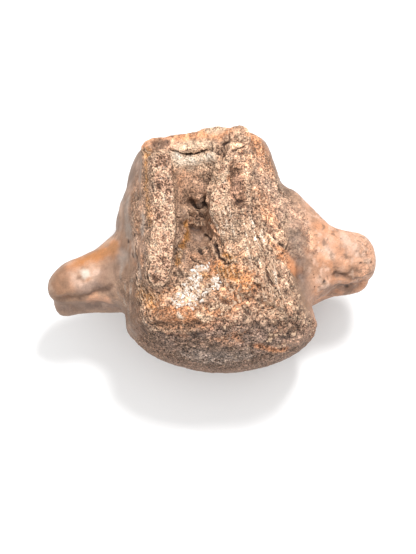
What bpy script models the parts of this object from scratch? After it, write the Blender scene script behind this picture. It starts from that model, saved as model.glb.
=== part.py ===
"""Fossil vertebra of a mosasaur: a procoelous centrum with the neural arch broken off.

+Y points to the animal's head, +X to its right and +Z to its back. The bone lies on its underside,
and the origin is below the middle of its outline, on the floor. Sizes are in metres.
The bone is modelled whole and then parted, with a thin gap, where an anatomist names its parts.
"""
import math

import bmesh
import bpy
from mathutils import Matrix, Vector

MM = 0.001
GAP = 0.3 * MM              # air between two parts that touch
RING_POINTS = 56            # points round each section of the centrum

# Centrum, measured at half its height
REAR_Y = -23.5 * MM         # plane of the rim in front of the condyle
FRONT_Y = 31.0 * MM         # plane of the cotyle's rim
MID_Z = 26.0 * MM
HALF_UP = 22.6 * MM         # from half height to the back of the bone
HALF_DOWN = 27.2 * MM       # reaches below the floor, which the resting flats cut off
WAIST_RISE = 5.5 * MM       # hollow of the underside between the two ends
UPPER_POWER = 2.7           # 2 is an ellipse, more is squarer
LOWER_POWER = 2.3
REAR_LEAN = math.radians(3)
FRONT_LEAN = math.radians(12)
REAR_SKEW = math.radians(-5)
FRONT_SKEW = math.radians(1)

# Condyle and cotyle
CONDYLE_BULGE = 11.0 * MM
CONDYLE_SHARE = 0.94        # of the rim's width and height
CONDYLE_SHIFT = 0.8 * MM    # its top lies this far to the left of the rim's middle
RIM_GROOVE = 1.3 * MM
CUP_DEPTH = 8.0 * MM
CUP_SHARE = 0.86
RIM_ROLL = 1.2 * MM
COTYLE_THICKNESS = 12.5 * MM    # the cup's floor included

# Transverse processes
PROCESS_ROOT_X = 15.0 * MM
LEFT_REACH = 51.9 * MM
RIGHT_REACH = 52.9 * MM
LEFT_CUT_X = -29.6 * MM     # where each process is parted from the centrum
RIGHT_CUT_X = 31.8 * MM

# Stumps of the broken neural arch
STUMP_ROOT_Z = 34.0 * MM    # sunk well into the centrum
STUMP_CUT_Z = 46.8 * MM     # where each stump is parted from it

# Surface made by the remesh, and the triangles that are left
VOXEL = 1.0 * MM
SMOOTH_STEPS = 2
TRIANGLES = 9000


def in_metres(*stations):
    """Stations of (place, size) given in millimetres."""
    return [(place * MM, size * MM) for place, size in stations]


# Width of the centrum to each side of the midline, from the rear rim to the front rim
LEFT_WIDTH = in_metres((-23.5, 27.8), (-14, 28.0), (13, 28.8), (24, 24.6), (31, 22.0))
RIGHT_WIDTH = in_metres((-23.5, 32.2), (-12, 30.2), (10, 29.0), (23, 25.0), (31, 23.0))


def clear_scene():
    for old in list(bpy.data.objects):
        bpy.data.objects.remove(old)


def mix(a, b, share):
    return a + (b - a) * share


def ease(value, low, high):
    """0 below low, 1 above high, smooth between."""
    share = min(1.0, max(0.0, (value - low) / (high - low)))
    return share * share * (3 - 2 * share)


def between(value, stations):
    """Smooth value from a short list of (place, size) stations in rising order."""
    if value <= stations[0][0]:
        return stations[0][1]
    for (a, first), (b, second) in zip(stations, stations[1:]):
        if value <= b:
            return mix(first, second, ease(value, a, b))
    return stations[-1][1]


def signed_power(value, power):
    return math.copysign(abs(value) ** power, value)


def object_from(name, bm):
    mesh = bpy.data.meshes.new(name)
    bm.to_mesh(mesh)
    bm.free()
    made = bpy.data.objects.new(name, mesh)
    bpy.context.scene.collection.objects.link(made)
    return made


def loft(name, rings):
    """A closed solid through rings of equal point count, with a flat cap on each end."""
    bm = bmesh.new()
    loops = [[bm.verts.new(point) for point in ring] for ring in rings]
    count = len(loops[0])
    for lower, upper in zip(loops, loops[1:]):
        for i in range(count):
            j = (i + 1) % count
            bm.faces.new((lower[i], lower[j], upper[j], upper[i]))
    bm.faces.new(list(reversed(loops[0])))
    bm.faces.new(loops[-1])
    bmesh.ops.recalc_face_normals(bm, faces=bm.faces)
    return object_from(name, bm)


def centrum_ring(along, scale=1.0, offset=0.0):
    """Section of the centrum: along is 0 at the rear rim and 1 at the front one, offset is along Y."""
    middle_y = mix(REAR_Y, FRONT_Y, along)
    left = between(middle_y, LEFT_WIDTH)
    right = between(middle_y, RIGHT_WIDTH)
    half_down = HALF_DOWN - WAIST_RISE * math.sin(math.pi * along) ** 2
    lean = math.tan(mix(REAR_LEAN, FRONT_LEAN, along))
    skew = math.tan(mix(REAR_SKEW, FRONT_SKEW, along))
    ring = []
    for step in range(RING_POINTS):
        angle = 2 * math.pi * step / RING_POINTS
        upper = math.sin(angle) > 0
        power = 2 / (UPPER_POWER if upper else LOWER_POWER)
        x = (left + right) / 2 * scale * signed_power(math.cos(angle), power)
        z = (HALF_UP if upper else half_down) * scale * signed_power(math.sin(angle), power)
        y = middle_y + offset + lean * z + skew * x
        ring.append(Vector(((right - left) / 2 + x, y, MID_Z + z)))
    return ring


def make_centrum():
    rings = []
    dome_steps = 9
    for step in range(dome_steps):
        angle = math.radians(mix(88, 0, step / (dome_steps - 1)))
        scale = CONDYLE_SHARE * math.cos(angle)
        bulge = mix(math.sin(angle), math.sin(angle) ** 2, 0.5)
        ring = centrum_ring(0, scale, -RIM_GROOVE - CONDYLE_BULGE * bulge)
        rings.append([point - Vector((CONDYLE_SHIFT * bulge, 0, 0)) for point in ring])
    rings.append(centrum_ring(0, 0.955, -RIM_GROOVE))
    body_steps = 12
    for step in range(body_steps + 1):
        rings.append(centrum_ring(step / body_steps))
    rings.append(centrum_ring(1, 0.96, RIM_ROLL))
    cup_steps = 8
    for step in range(cup_steps):
        share = CUP_SHARE * (1 - step / cup_steps)
        rings.append(centrum_ring(1, share, -CUP_DEPTH * (1 - (share / CUP_SHARE) ** 2)))
    return loft("whole_bone", rings)


def process_ring(x, centre_y, centre_z, half_y, half_z, power=2.4, points=28):
    ring = []
    for step in range(points):
        angle = 2 * math.pi * step / points
        y = centre_y + half_y * signed_power(math.cos(angle), 2 / power)
        z = centre_z + half_z * signed_power(math.sin(angle), 2 / power)
        ring.append(Vector((x, y, z)))
    return ring


def make_lobe(name, side, reach, centre_y, half_y, centre_z, half_z, tip_length):
    """One lobe of a transverse process, from inside the centrum to its rounded tip."""
    rings = []
    steps = 16
    for step in range(steps + 1):
        out = mix(PROCESS_ROOT_X, reach, math.sin(math.pi / 2 * step / steps))
        left = max(0.0, (out - (reach - tip_length)) / tip_length)
        shrink = max(0.06, math.sqrt(max(0.0, 1 - left ** 2.2)))
        rings.append(
            process_ring(
                side * out,
                between(out, centre_y),
                between(out, centre_z),
                between(out, half_y) * shrink,
                between(out, half_z) * shrink,
            )
        )
    return loft(name, rings)


def make_processes():
    """Each process has a thick upper lobe and a thinner ledge below its rear edge."""
    return [
        make_lobe(
            "left_upper_lobe", -1, LEFT_REACH,
            centre_y=in_metres((15, -0.6), (28, -1.2), (34, -2.3), (42, -4.0), (53, -5.6)),
            half_y=in_metres((15, 20), (24, 18.2), (30, 11.2), (36, 8.0), (46, 7.0), (53, 6.6)),
            centre_z=in_metres((15, 27), (30, 29.5), (53, 29)),
            half_z=in_metres((15, 13), (26, 11), (34, 7.6), (53, 7.4)),
            tip_length=10 * MM,
        ),
        make_lobe(
            "left_lower_ledge", -1, LEFT_REACH - 1.2 * MM,
            centre_y=in_metres((15, -4.6), (30, -5.4), (42, -6.8), (53, -9.0)),
            half_y=in_metres((15, 12), (30, 8.4), (42, 6.4), (53, 6.2)),
            centre_z=in_metres((15, 22), (53, 24)),
            half_z=in_metres((15, 9), (34, 4.8), (53, 4)),
            tip_length=5 * MM,
        ),
        make_lobe(
            "right_upper_lobe", 1, RIGHT_REACH,
            centre_y=in_metres((15, 0.4), (30, 0), (36, -2.3), (44, -4.4), (53, -4.9)),
            half_y=in_metres((15, 22), (27, 20.8), (33, 15.4), (40, 9.4), (53, 7.6)),
            centre_z=in_metres((15, 29), (30, 31), (53, 30)),
            half_z=in_metres((15, 13), (27, 11), (36, 8), (53, 7)),
            tip_length=5 * MM,
        ),
        make_lobe(
            "right_lower_ledge", 1, RIGHT_REACH - 1.4 * MM,
            centre_y=in_metres((15, -5.6), (32, -7), (44, -7.6), (53, -7.2)),
            half_y=in_metres((15, 14), (30, 10.5), (40, 7.3), (53, 6.4)),
            centre_z=in_metres((15, 22), (53, 24.5)),
            half_z=in_metres((15, 9), (34, 5.2), (53, 4)),
            tip_length=4 * MM,
        ),
    ]


def stump_ring(y, inner, outer, foot, top_inner, top_outer):
    """Section of an arch stump: a steep wall to the canal, a broken top, and a slope down the flank."""
    return [
        Vector((inner, y, STUMP_ROOT_Z)),
        Vector((inner, y, mix(STUMP_ROOT_Z, top_inner, 0.5))),
        Vector((inner, y, top_inner)),
        Vector((mix(inner, outer, 0.5), y, mix(top_inner, top_outer, 0.5) + 0.3 * MM)),
        Vector((outer, y, top_outer)),
        Vector((mix(outer, foot, 0.45), y, mix(top_outer, STUMP_ROOT_Z, 0.35))),
        Vector((foot, y, STUMP_ROOT_Z)),
    ]


def make_stump(name, low_y, high_y, inner, outer, foot, top_inner, top_outer):
    rings = []
    steps = 18
    for step in range(steps + 1):
        y = mix(low_y, high_y, step / steps)
        rings.append(
            stump_ring(
                y,
                between(y, inner),
                between(y, outer),
                between(y, foot),
                between(y, top_inner),
                between(y, top_outer),
            )
        )
    return loft(name, rings)


def make_stumps():
    left = make_stump(
        "left_stump", -12.5 * MM, 29 * MM,
        inner=in_metres((-12.5, -14.4), (-9.5, -12.4), (-3, -11.2), (8, -9.4), (29, -9.2)),
        outer=in_metres((-12.5, -17), (-9.5, -18.4), (-3, -18.2), (8, -15.3), (29, -15.2)),
        foot=in_metres((-12.5, -24), (0, -25.5), (20, -24.5), (29, -22)),
        top_inner=in_metres((-12.5, 50.5), (-8, 52.3), (29, 53.5)),
        top_outer=in_metres((-12.5, 50), (-8, 51.8), (29, 53)),
    )
    right = make_stump(
        "right_stump", -14 * MM, 30 * MM,
        inner=in_metres((-14, 12), (-4, 9), (4, 4), (10.5, -0.8), (14, 0.6), (21, 6), (30, 8.6)),
        outer=in_metres((-14, 16.5), (5, 14), (20, 13.5), (30, 13.4)),
        foot=in_metres((-14, 27), (5, 27.5), (20, 25.5), (30, 21.5)),
        top_inner=in_metres((-14, 48), (2, 49), (10, 52.4), (30, 53)),
        top_outer=in_metres((-14, 47), (5, 48), (18, 49), (26, 51), (30, 50)),
    )
    return [left, right]


def ball(name, centre, radii, turn=0.0):
    bm = bmesh.new()
    bmesh.ops.create_icosphere(bm, subdivisions=3, radius=1)
    place = Matrix.Translation(centre) @ Matrix.Rotation(turn, 4, "Z")
    bmesh.ops.transform(bm, matrix=place @ Matrix.Diagonal((*radii, 1)), verts=bm.verts)
    return object_from(name, bm)


def block(name, low, high):
    """A box between two corners."""
    low, high = Vector(low), Vector(high)
    bm = bmesh.new()
    bmesh.ops.create_cube(bm, size=1)
    place = Matrix.Translation((low + high) / 2) @ Matrix.Diagonal((*(high - low), 1))
    bmesh.ops.transform(bm, matrix=place, verts=bm.verts)
    return object_from(name, bm)


def millimetres(*values):
    return Vector(values) * MM


def make_swellings():
    """Broken bone that stands proud of the cotyle's lip."""
    return [
        ball("lip_knob", millimetres(11.6, 32.9, 48.6), millimetres(4.6, 3.8, 3.4)),
        ball("lip_crest", millimetres(4.6, 33.2, 46.6), millimetres(8.0, 4.8, 3.4)),
        ball("lip_corner", millimetres(-13.4, 31.8, 45.4), millimetres(5.4, 4.6, 3.2)),
    ]


def make_canal():
    """Bed of the neural canal: a rounded groove that dips in the middle of the bone."""
    bed = in_metres((-20, 49.5), (-9, 46.5), (4, 43.4), (14, 42.2), (22, 44.5), (30, 48.6), (40, 50))
    left_wall = in_metres((-20, -11), (-4, -10.4), (10, -9), (40, -9))
    right_wall = in_metres((-20, 8), (-4, 8), (4, 4), (12, 1), (21, 6), (40, 9))
    rings = []
    steps = 14
    for step in range(steps + 1):
        y = mix(-20 * MM, 40 * MM, step / steps)
        left = between(y, left_wall)
        right = between(y, right_wall)
        ring = []
        for turn in range(20):
            angle = 2 * math.pi * turn / 20
            x = (left + right) / 2 + (right - left) / 2 * signed_power(math.cos(angle), 0.7)
            z = between(y, bed) + 12 * MM * (1 + signed_power(math.sin(angle), 0.7))
            ring.append(Vector((x, y, z)))
        rings.append(ring)
    return loft("canal", rings)


def make_hollows():
    """What is taken out of the back of the bone, after the real one's pits and breaks."""
    return [
        make_canal(),
        ball("front_pit", millimetres(-1.8, 13.4, 42), millimetres(4.0, 4.6, 3.2)),
        ball("rear_pit", millimetres(-2.2, 5.2, 43.2), millimetres(3.6, 5.0, 2.0), math.radians(35)),
        ball("lip_crack", millimetres(-3.6, 28.9, 49.2), millimetres(8.6, 1.3, 2.6)),
        ball("rear_break", millimetres(15.0, -18.5, 52.2), millimetres(13.5, 8.5, 6.0)),
    ]


def apply_boolean(body, others, operation):
    """body joined with, or cut by, the other objects, which are then removed."""
    tools = bpy.data.collections.new("tools")
    for other in others:
        tools.objects.link(other)
    modifier = body.modifiers.new("fuse", "BOOLEAN")
    modifier.operation = operation
    modifier.operand_type = "COLLECTION"
    modifier.collection = tools
    modifier.solver = "EXACT"
    bake_modifiers(body)
    for other in others:
        bpy.data.objects.remove(other)
    bpy.data.collections.remove(tools)
    keep_largest(body)


def bake_modifiers(body):
    graph = bpy.context.evaluated_depsgraph_get()
    baked = bpy.data.meshes.new_from_object(body.evaluated_get(graph))
    body.modifiers.clear()
    body.data = baked


def keep_largest(body):
    """Drops crumbs: only the closed surface with the most faces stays."""
    bm = bmesh.new()
    bm.from_mesh(body.data)
    left = set(bm.verts)
    shells = []
    while left:
        start = left.pop()
        shell = {start}
        front = [start]
        while front:
            vert = front.pop()
            for edge in vert.link_edges:
                other = edge.other_vert(vert)
                if other not in shell:
                    shell.add(other)
                    front.append(other)
        left -= shell
        shells.append(shell)
    if len(shells) > 1:
        shells.sort(key=len)
        crumbs = [vert for shell in shells[:-1] for vert in shell]
        bmesh.ops.delete(bm, geom=crumbs, context="VERTS")
        bm.to_mesh(body.data)
    bm.free()


def blend_surface(body):
    """Rounds every join into bone, then thins the mesh to few faces."""
    remesh = body.modifiers.new("skin", "REMESH")
    remesh.mode = "VOXEL"
    remesh.voxel_size = VOXEL
    smooth = body.modifiers.new("soften", "SMOOTH")
    smooth.factor = 0.6
    smooth.iterations = SMOOTH_STEPS
    bake_modifiers(body)
    triangulate = body.modifiers.new("triangles", "TRIANGULATE")
    triangulate.quad_method = "BEAUTY"
    thin = body.modifiers.new("thin", "DECIMATE")
    thin.ratio = TRIANGLES / (2 * len(body.data.polygons))
    bake_modifiers(body)


def beyond(point, direction):
    """Everything on one side of a plane, as a large box. direction points into it."""
    size = 0.3
    bm = bmesh.new()
    bmesh.ops.create_cube(bm, size=size)
    turn = direction.to_track_quat("Z", "Y").to_matrix().to_4x4()
    place = Matrix.Translation(point + direction * size / 2) @ turn
    bmesh.ops.transform(bm, matrix=place, verts=bm.verts)
    return object_from("region", bm)


def prism(plan, low_z, grow):
    """An upright prism over a plan of points, open-ended upward and widened by grow."""
    count = len(plan)
    rings = []
    for z in (low_z - grow, 0.09):
        ring = []
        for i, point in enumerate(plan):
            before = (point - plan[i - 1]).normalized()
            after = (plan[(i + 1) % count] - point).normalized()
            first = Vector((before.y, -before.x))
            second = Vector((after.y, -after.x))
            moved = point + (first + second) / (1 + first.dot(second)) * grow
            ring.append(Vector((moved.x, moved.y, z)))
        rings.append(ring)
    return loft("region", rings)


def part_off(body, name, region):
    """Parts the body along a region and returns the piece. region(grow) makes the cutter."""
    piece = body.copy()
    piece.data = body.data.copy()
    piece.name = name
    bpy.context.scene.collection.objects.link(piece)
    apply_boolean(piece, [region(0)], "INTERSECT")
    apply_boolean(body, [region(GAP)], "DIFFERENCE")
    return piece


def rim_direction(lean, skew):
    """Normal of a section of the centrum, pointing to the head."""
    return Vector((-math.tan(skew), 1, -math.tan(lean))).normalized()


def part_bone(bone):
    """The named parts of the vertebra, the centrum last."""
    left_plan = [
        Vector((x * MM, y * MM))
        for x, y in (
            (-23, -10), (-18.6, -13), (-14.2, -13), (-11.6, -9.6), (-10.4, -3), (-8.2, 8),
            (-7.6, 27.6), (-23, 27.6),
        )
    ]
    right_plan = [
        Vector((x * MM, y * MM))
        for x, y in (
            (10.4, -8), (14.8, -6), (17.6, 2), (18, 28), (5, 28), (4, 22), (-2.6, 13), (-2.4, 8.6), (6.2, -4),
        )
    ]
    forward = rim_direction(FRONT_LEAN, FRONT_SKEW)
    backward = -rim_direction(REAR_LEAN, REAR_SKEW)
    front_point = Vector((0, FRONT_Y - COTYLE_THICKNESS, MID_Z))
    rear_point = Vector((0, REAR_Y - RIM_GROOVE, MID_Z))
    outward = Vector((1, 0, 0))
    parts = [
        part_off(bone, "left_pedicle", lambda grow: prism(left_plan, STUMP_CUT_Z, grow)),
        part_off(bone, "right_pedicle", lambda grow: prism(right_plan, STUMP_CUT_Z, grow)),
        part_off(bone, "cotyle", lambda grow: beyond(front_point - forward * grow, forward)),
        part_off(bone, "condyle", lambda grow: beyond(rear_point - backward * grow, backward)),
        part_off(
            bone, "left_transverse_process",
            lambda grow: beyond(Vector((LEFT_CUT_X + grow, 0, MID_Z)), -outward),
        ),
        part_off(
            bone, "right_transverse_process",
            lambda grow: beyond(Vector((RIGHT_CUT_X - grow, 0, MID_Z)), outward),
        ),
    ]
    bone.name = "centrum"
    return [bone] + parts


def centre_on_floor(parts):
    """Moves the parts so that the middle of their outline stands over the origin."""
    corners = [vert.co for part in parts for vert in part.data.vertices]
    middle_x = (min(c.x for c in corners) + max(c.x for c in corners)) / 2
    middle_y = (min(c.y for c in corners) + max(c.y for c in corners)) / 2
    low_z = min(c.z for c in corners)
    for part in parts:
        part.data.transform(Matrix.Translation((-middle_x, -middle_y, -low_z)))
    print("moved by", round(-middle_x / MM, 2), round(-middle_y / MM, 2), round(-low_z / MM, 2), "mm")


def paint(part, colour, roughness):
    material = bpy.data.materials.new(part.name + "_bone")
    material.use_nodes = True
    shader = material.node_tree.nodes["Principled BSDF"]
    shader.inputs["Base Color"].default_value = (*colour, 1)
    shader.inputs["Roughness"].default_value = roughness
    shader.inputs["Metallic"].default_value = 0
    part.data.materials.clear()
    part.data.materials.append(material)


COLOURS = {
    "centrum": ((0.36, 0.22, 0.12), 0.68),
    "cotyle": ((0.42, 0.25, 0.13), 0.64),
    "condyle": ((0.30, 0.22, 0.15), 0.74),
    "left_pedicle": ((0.46, 0.33, 0.22), 0.82),
    "right_pedicle": ((0.44, 0.31, 0.21), 0.82),
    "left_transverse_process": ((0.38, 0.22, 0.12), 0.60),
    "right_transverse_process": ((0.42, 0.27, 0.17), 0.62),
}


def main():
    clear_scene()
    bone = make_centrum()
    apply_boolean(bone, make_processes() + make_stumps() + make_swellings(), "UNION")
    apply_boolean(bone, make_hollows(), "DIFFERENCE")
    blend_surface(bone)
    floor_cutter = block("floor_cutter", (-0.1, -0.1, -0.05), (0.1, 0.1, 0))
    apply_boolean(bone, [floor_cutter], "DIFFERENCE")
    parts = part_bone(bone)
    centre_on_floor(parts)
    for part in parts:
        paint(part, *COLOURS[part.name])
        print(part.name, len(part.data.polygons), "faces")


main()
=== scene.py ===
# %% [markdown]
# # A fossil vertebra, dressed on its frame
#
# The solids of the vertebra are already packed: centrum, cotyle (the cupped front), condyle (the
# domed rear), two transverse processes and two stumps of the broken neural arch. This lesson keeps
# their sizes and gives them the surface of the real bone: grain, cracks, spongy bone, mineral stains
# and calcite. One skin is grown over all the solids, because the real bone has no joints in it, and
# the skin is cut into one piece for each solid only at the end.

# %% Load the frame
import math

import bmesh
import bpy
import numpy as np
from mathutils import Matrix, Vector
from mathutils.bvhtree import BVHTree
from mathutils.geometry import delaunay_2d_cdt


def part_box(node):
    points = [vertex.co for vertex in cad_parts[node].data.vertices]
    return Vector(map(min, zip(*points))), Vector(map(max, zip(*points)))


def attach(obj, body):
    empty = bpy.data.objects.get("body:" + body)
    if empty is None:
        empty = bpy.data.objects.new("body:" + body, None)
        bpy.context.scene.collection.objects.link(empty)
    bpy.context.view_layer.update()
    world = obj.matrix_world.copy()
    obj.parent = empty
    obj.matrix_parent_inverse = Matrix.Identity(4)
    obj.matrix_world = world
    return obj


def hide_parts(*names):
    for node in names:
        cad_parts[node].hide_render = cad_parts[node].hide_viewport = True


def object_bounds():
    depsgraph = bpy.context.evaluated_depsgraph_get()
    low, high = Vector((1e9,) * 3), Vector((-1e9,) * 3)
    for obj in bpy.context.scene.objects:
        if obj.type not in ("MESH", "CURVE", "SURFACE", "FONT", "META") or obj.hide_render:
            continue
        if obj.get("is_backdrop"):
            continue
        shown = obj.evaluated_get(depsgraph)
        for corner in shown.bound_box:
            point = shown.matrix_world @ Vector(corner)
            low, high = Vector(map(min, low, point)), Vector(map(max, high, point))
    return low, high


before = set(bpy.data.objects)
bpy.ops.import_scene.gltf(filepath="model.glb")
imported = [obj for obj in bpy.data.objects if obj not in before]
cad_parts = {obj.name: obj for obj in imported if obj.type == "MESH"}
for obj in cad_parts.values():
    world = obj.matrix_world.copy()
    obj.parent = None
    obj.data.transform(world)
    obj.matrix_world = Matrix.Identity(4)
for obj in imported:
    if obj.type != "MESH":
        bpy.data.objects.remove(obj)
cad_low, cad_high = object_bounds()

MM = 0.001
print("CAD box in mm:", [round(v / MM, 1) for v in cad_high - cad_low])

# %% [markdown]
# ## The camera
#
# The bone was photographed from steeply above, from a little behind and to its left. Setting the
# camera first has a use beyond the picture: a mark that was read off the photo at a pixel can be
# sent down the camera's ray until it lands on the bone. That is how cracks and stains find their
# places here. The bone's own forms could be measured by hand instead, but a ray is exact.

# %% Camera
IMAGE_WIDTH, IMAGE_HEIGHT = 416, 554
AZIMUTH = math.radians(-5)
ELEVATION = math.radians(78)
DISTANCE = 420 * MM
TARGET = Vector((-1.29, -6.69, 28.0)) * MM
FOCAL_PIXELS = 1316.6
SENSOR = 36.0

camera_back = Vector((
    math.sin(AZIMUTH) * math.cos(ELEVATION),
    -math.cos(AZIMUTH) * math.cos(ELEVATION),
    math.sin(ELEVATION),
))
camera_right = Vector((math.cos(AZIMUTH), math.sin(AZIMUTH), 0))
camera_up = camera_back.cross(camera_right)
camera_place = TARGET + camera_back * DISTANCE


def make_camera():
    lens = bpy.data.cameras.new("photo_view")
    lens.lens = SENSOR * FOCAL_PIXELS / max(IMAGE_WIDTH, IMAGE_HEIGHT)
    lens.sensor_width = SENSOR
    lens.clip_start = 0.01
    lens.clip_end = 10
    camera = bpy.data.objects.new("photo_view", lens)
    bpy.context.scene.collection.objects.link(camera)
    turn = Matrix((camera_right, camera_up, camera_back)).transposed()
    camera.matrix_world = Matrix.Translation(camera_place) @ turn.to_4x4()
    bpy.context.scene.camera = camera
    print("lens of", round(lens.lens, 1), "mm")


make_camera()

# %% [markdown]
# ## Floor and light
#
# A bone is photographed on white, in soft light, with the main light above and to the right. A pale
# floor, two area lights and a bright, even room do the same. The main light is small enough to draw
# the grain, and the room's light fills the pits, so their shadows stay soft.

# %% Floor and lights
FLOOR_HALF = 1.5


def make_floor():
    mesh = bpy.data.meshes.new("floor")
    corners = [(-1, -1), (1, -1), (1, 1), (-1, 1)]
    mesh.from_pydata([(FLOOR_HALF * x, FLOOR_HALF * y, 0) for x, y in corners], [], [(0, 1, 2, 3)])
    floor = bpy.data.objects.new("floor", mesh)
    bpy.context.scene.collection.objects.link(floor)
    paper = bpy.data.materials.new("white_paper")
    paper.use_nodes = True
    shader = paper.node_tree.nodes["Principled BSDF"]
    shader.inputs["Base Color"].default_value = (0.93, 0.93, 0.93, 1)
    shader.inputs["Roughness"].default_value = 0.9
    mesh.materials.append(paper)
    floor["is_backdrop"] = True


def make_light(name, place, aim, size, power, colour=(1, 1, 1)):
    lamp = bpy.data.lights.new(name, "AREA")
    lamp.energy = power
    lamp.size = size
    lamp.color = colour
    light = bpy.data.objects.new(name, lamp)
    light.location = place
    light.rotation_euler = (Vector(aim) - Vector(place)).to_track_quat("-Z", "Y").to_euler()
    bpy.context.scene.collection.objects.link(light)


make_floor()
make_light("key", (0.15, 0.28, 0.62), (0, 0, 0.03), 0.12, 3.3)
make_light("fill", (-0.45, -0.30, 0.55), (0, 0, 0.03), 0.6, 0.8)
world = bpy.data.worlds.new("studio")
world.use_nodes = True
world.node_tree.nodes["Background"].inputs["Color"].default_value = (1, 1, 1, 1)
world.node_tree.nodes["Background"].inputs["Strength"].default_value = 0.95
bpy.context.scene.world = world
bpy.context.scene.view_settings.view_transform = "Standard"
print("lights:", [light.name for light in bpy.data.lights])

# %% [markdown]
# ## One skin over all the solids
#
# The solids are parted by gaps of 0.3 mm, which the real bone doesn't have. Each copy is swollen a
# little so that neighbours overlap, beads are added where the broken bone bulges or overhangs, and a
# voxel remesh melts all of it into one closed surface of even, small squares. Sculpting needs even
# faces. A Boolean union would keep the long thin triangles.

# %% Copies of the solids
SWELL = 0.22 * MM           # closes the gaps between the solids
NODES = ("centrum", "cotyle", "condyle", "left_transverse_process", "right_transverse_process",
         "left_pedicle", "right_pedicle")
STUMPS = (NODES.index("left_pedicle"), NODES.index("right_pedicle"))


def swollen_copy(names, swell):
    """The named solids in one mesh, each closed and grown by swell."""
    joined = bmesh.new()
    for name in names:
        own = bmesh.new()
        own.from_mesh(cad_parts[name].data)
        bmesh.ops.remove_doubles(own, verts=own.verts, dist=1e-6)
        own.normal_update()
        moves = [vert.normal * swell for vert in own.verts]
        for vert, move in zip(own.verts, moves):
            vert.co += move
        mesh = bpy.data.meshes.new(name + "_copy")
        own.to_mesh(mesh)
        own.free()
        joined.from_mesh(mesh)
        bpy.data.meshes.remove(mesh)
    return joined


def on_surface(tree, scale, pixel_x, pixel_y):
    """Where the photo's pixel meets a surface. scale turns metres into the tree's own unit."""
    ray = (
        camera_right * (pixel_x - IMAGE_WIDTH / 2) + camera_up * (IMAGE_HEIGHT / 2 - pixel_y)
    ) / FOCAL_PIXELS - camera_back
    hit = tree.ray_cast(camera_place * scale, ray.normalized())[0]
    if hit is None:
        raise RuntimeError(f"no bone at pixel {pixel_x}, {pixel_y}")
    return hit


solids = swollen_copy(NODES, SWELL)
solids_tree = BVHTree.FromBMesh(solids)
print("joined solids have", len(solids.faces), "faces")

# %% [markdown]
# ## Beads where the break bulges
#
# The right stump leans out over the canal in rounded knobs, and the rear right corner is crowded with
# small nodules. Each is a flattened ball set on the line that it follows in the photo. The number
# after the line is the ball's radius in mm, and the last says how far its middle stands above the
# surface, also in mm. Balls that overlap read as one knobbly edge once they are melted together.

# %% Beads
BEADS = (
    # right stump and the bank behind it
    ([(217, 170), (215, 178)], 1.5, 0.1),
    ([(213, 185), (211, 192)], 1.6, 0.2),
    ([(209, 197), (208, 201)], 1.2, 0.3),
    ([(202, 206), (205, 212), (208, 219)], 0.5, 0.2),
    ([(208, 219), (213, 229), (221, 237)], 0.7, 0.0),
    ([(222, 222), (232, 226), (243, 230)], 1.0, -0.4),
    ([(224, 213), (236, 215), (246, 222)], 0.9, -0.4),
    # ledge behind the lip, and its right end
    ([(178, 158), (190, 160), (203, 159), (211, 158)], 0.8, -0.3),
    ([(213, 157), (218, 160), (220, 166)], 1.7, 0.6),
    # boss in the canal
    ([(197, 196), (200, 201)], 2.3, 0.2),
    # slab
    ([(160, 317), (172, 314), (186, 314), (200, 317)], 2.0, -1.2),
    # steps right of the calcite, and a ring
    ([(213, 316), (222, 310), (232, 304)], 0.9, -0.3),
    ([(212, 304), (221, 300), (231, 296)], 0.8, -0.3),
    ([(257, 270), (262, 274), (261, 280), (255, 281)], 0.55, 0.1),
    # rear right corner
    ([(240, 316), (249, 321)], 1.2, -0.4),
    ([(262, 322), (270, 329)], 1.1, -0.3),
    ([(281, 318), (288, 326)], 1.2, -0.4),
    ([(255, 334), (262, 340)], 1.0, -0.3),
    ([(292, 332), (300, 334)], 1.3, -0.5),
    ([(258, 347), (268, 350), (281, 350), (293, 350)], 1.0, -0.3),
)
FLATTENING = 0.8
BEAD_STEP = 0.9             # radii from one ball to the next


def add_beads(joined, pixels, radius, lift):
    """Balls along a line of pixels."""
    places = [on_surface(solids_tree, 1, *pixel) for pixel in pixels]
    for start, end in zip(places, places[1:]):
        steps = max(1, round((end - start).length / (BEAD_STEP * radius * MM)))
        for step in range(steps + 1):
            centre = start.lerp(end, step / steps) + camera_back * lift * MM
            shape = Matrix.Translation(centre) @ Matrix.Diagonal((1, 1, FLATTENING, 1))
            bmesh.ops.create_icosphere(joined, subdivisions=2, radius=radius * MM, matrix=shape)


for pixels, radius, lift in BEADS:
    add_beads(solids, pixels, radius, lift)
print(len(BEADS), "rows of beads")

# %% Grow the skin
SKIN_STEP = 0.328           # mm between neighbouring points of the skin
SMOOTHING = 5               # rounds that take the steps of the voxels off


def remeshed(joined, step, smoothing):
    """Points in mm and quads of a fresh even skin over a mesh."""
    mesh = bpy.data.meshes.new("skin")
    joined.to_mesh(mesh)
    joined.free()
    shape = bpy.data.objects.new("skin", mesh)
    bpy.context.scene.collection.objects.link(shape)
    remesh = shape.modifiers.new("voxels", "REMESH")
    remesh.mode = "VOXEL"
    remesh.voxel_size = step * MM
    smooth = shape.modifiers.new("smooth", "SMOOTH")
    smooth.factor = 0.5
    smooth.iterations = smoothing
    done = bpy.data.meshes.new_from_object(shape.evaluated_get(bpy.context.evaluated_depsgraph_get()))
    bpy.data.objects.remove(shape)
    points = np.empty(len(done.vertices) * 3)
    done.vertices.foreach_get("co", points)
    quads = np.empty(len(done.loops), dtype=np.int64)
    done.loops.foreach_get("vertex_index", quads)
    if len(quads) != 4 * len(done.polygons):
        raise RuntimeError("the remesh was expected to give quads only")
    bpy.data.meshes.remove(done)
    return points.reshape(-1, 3) / MM, quads.reshape(-1, 4)


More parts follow.
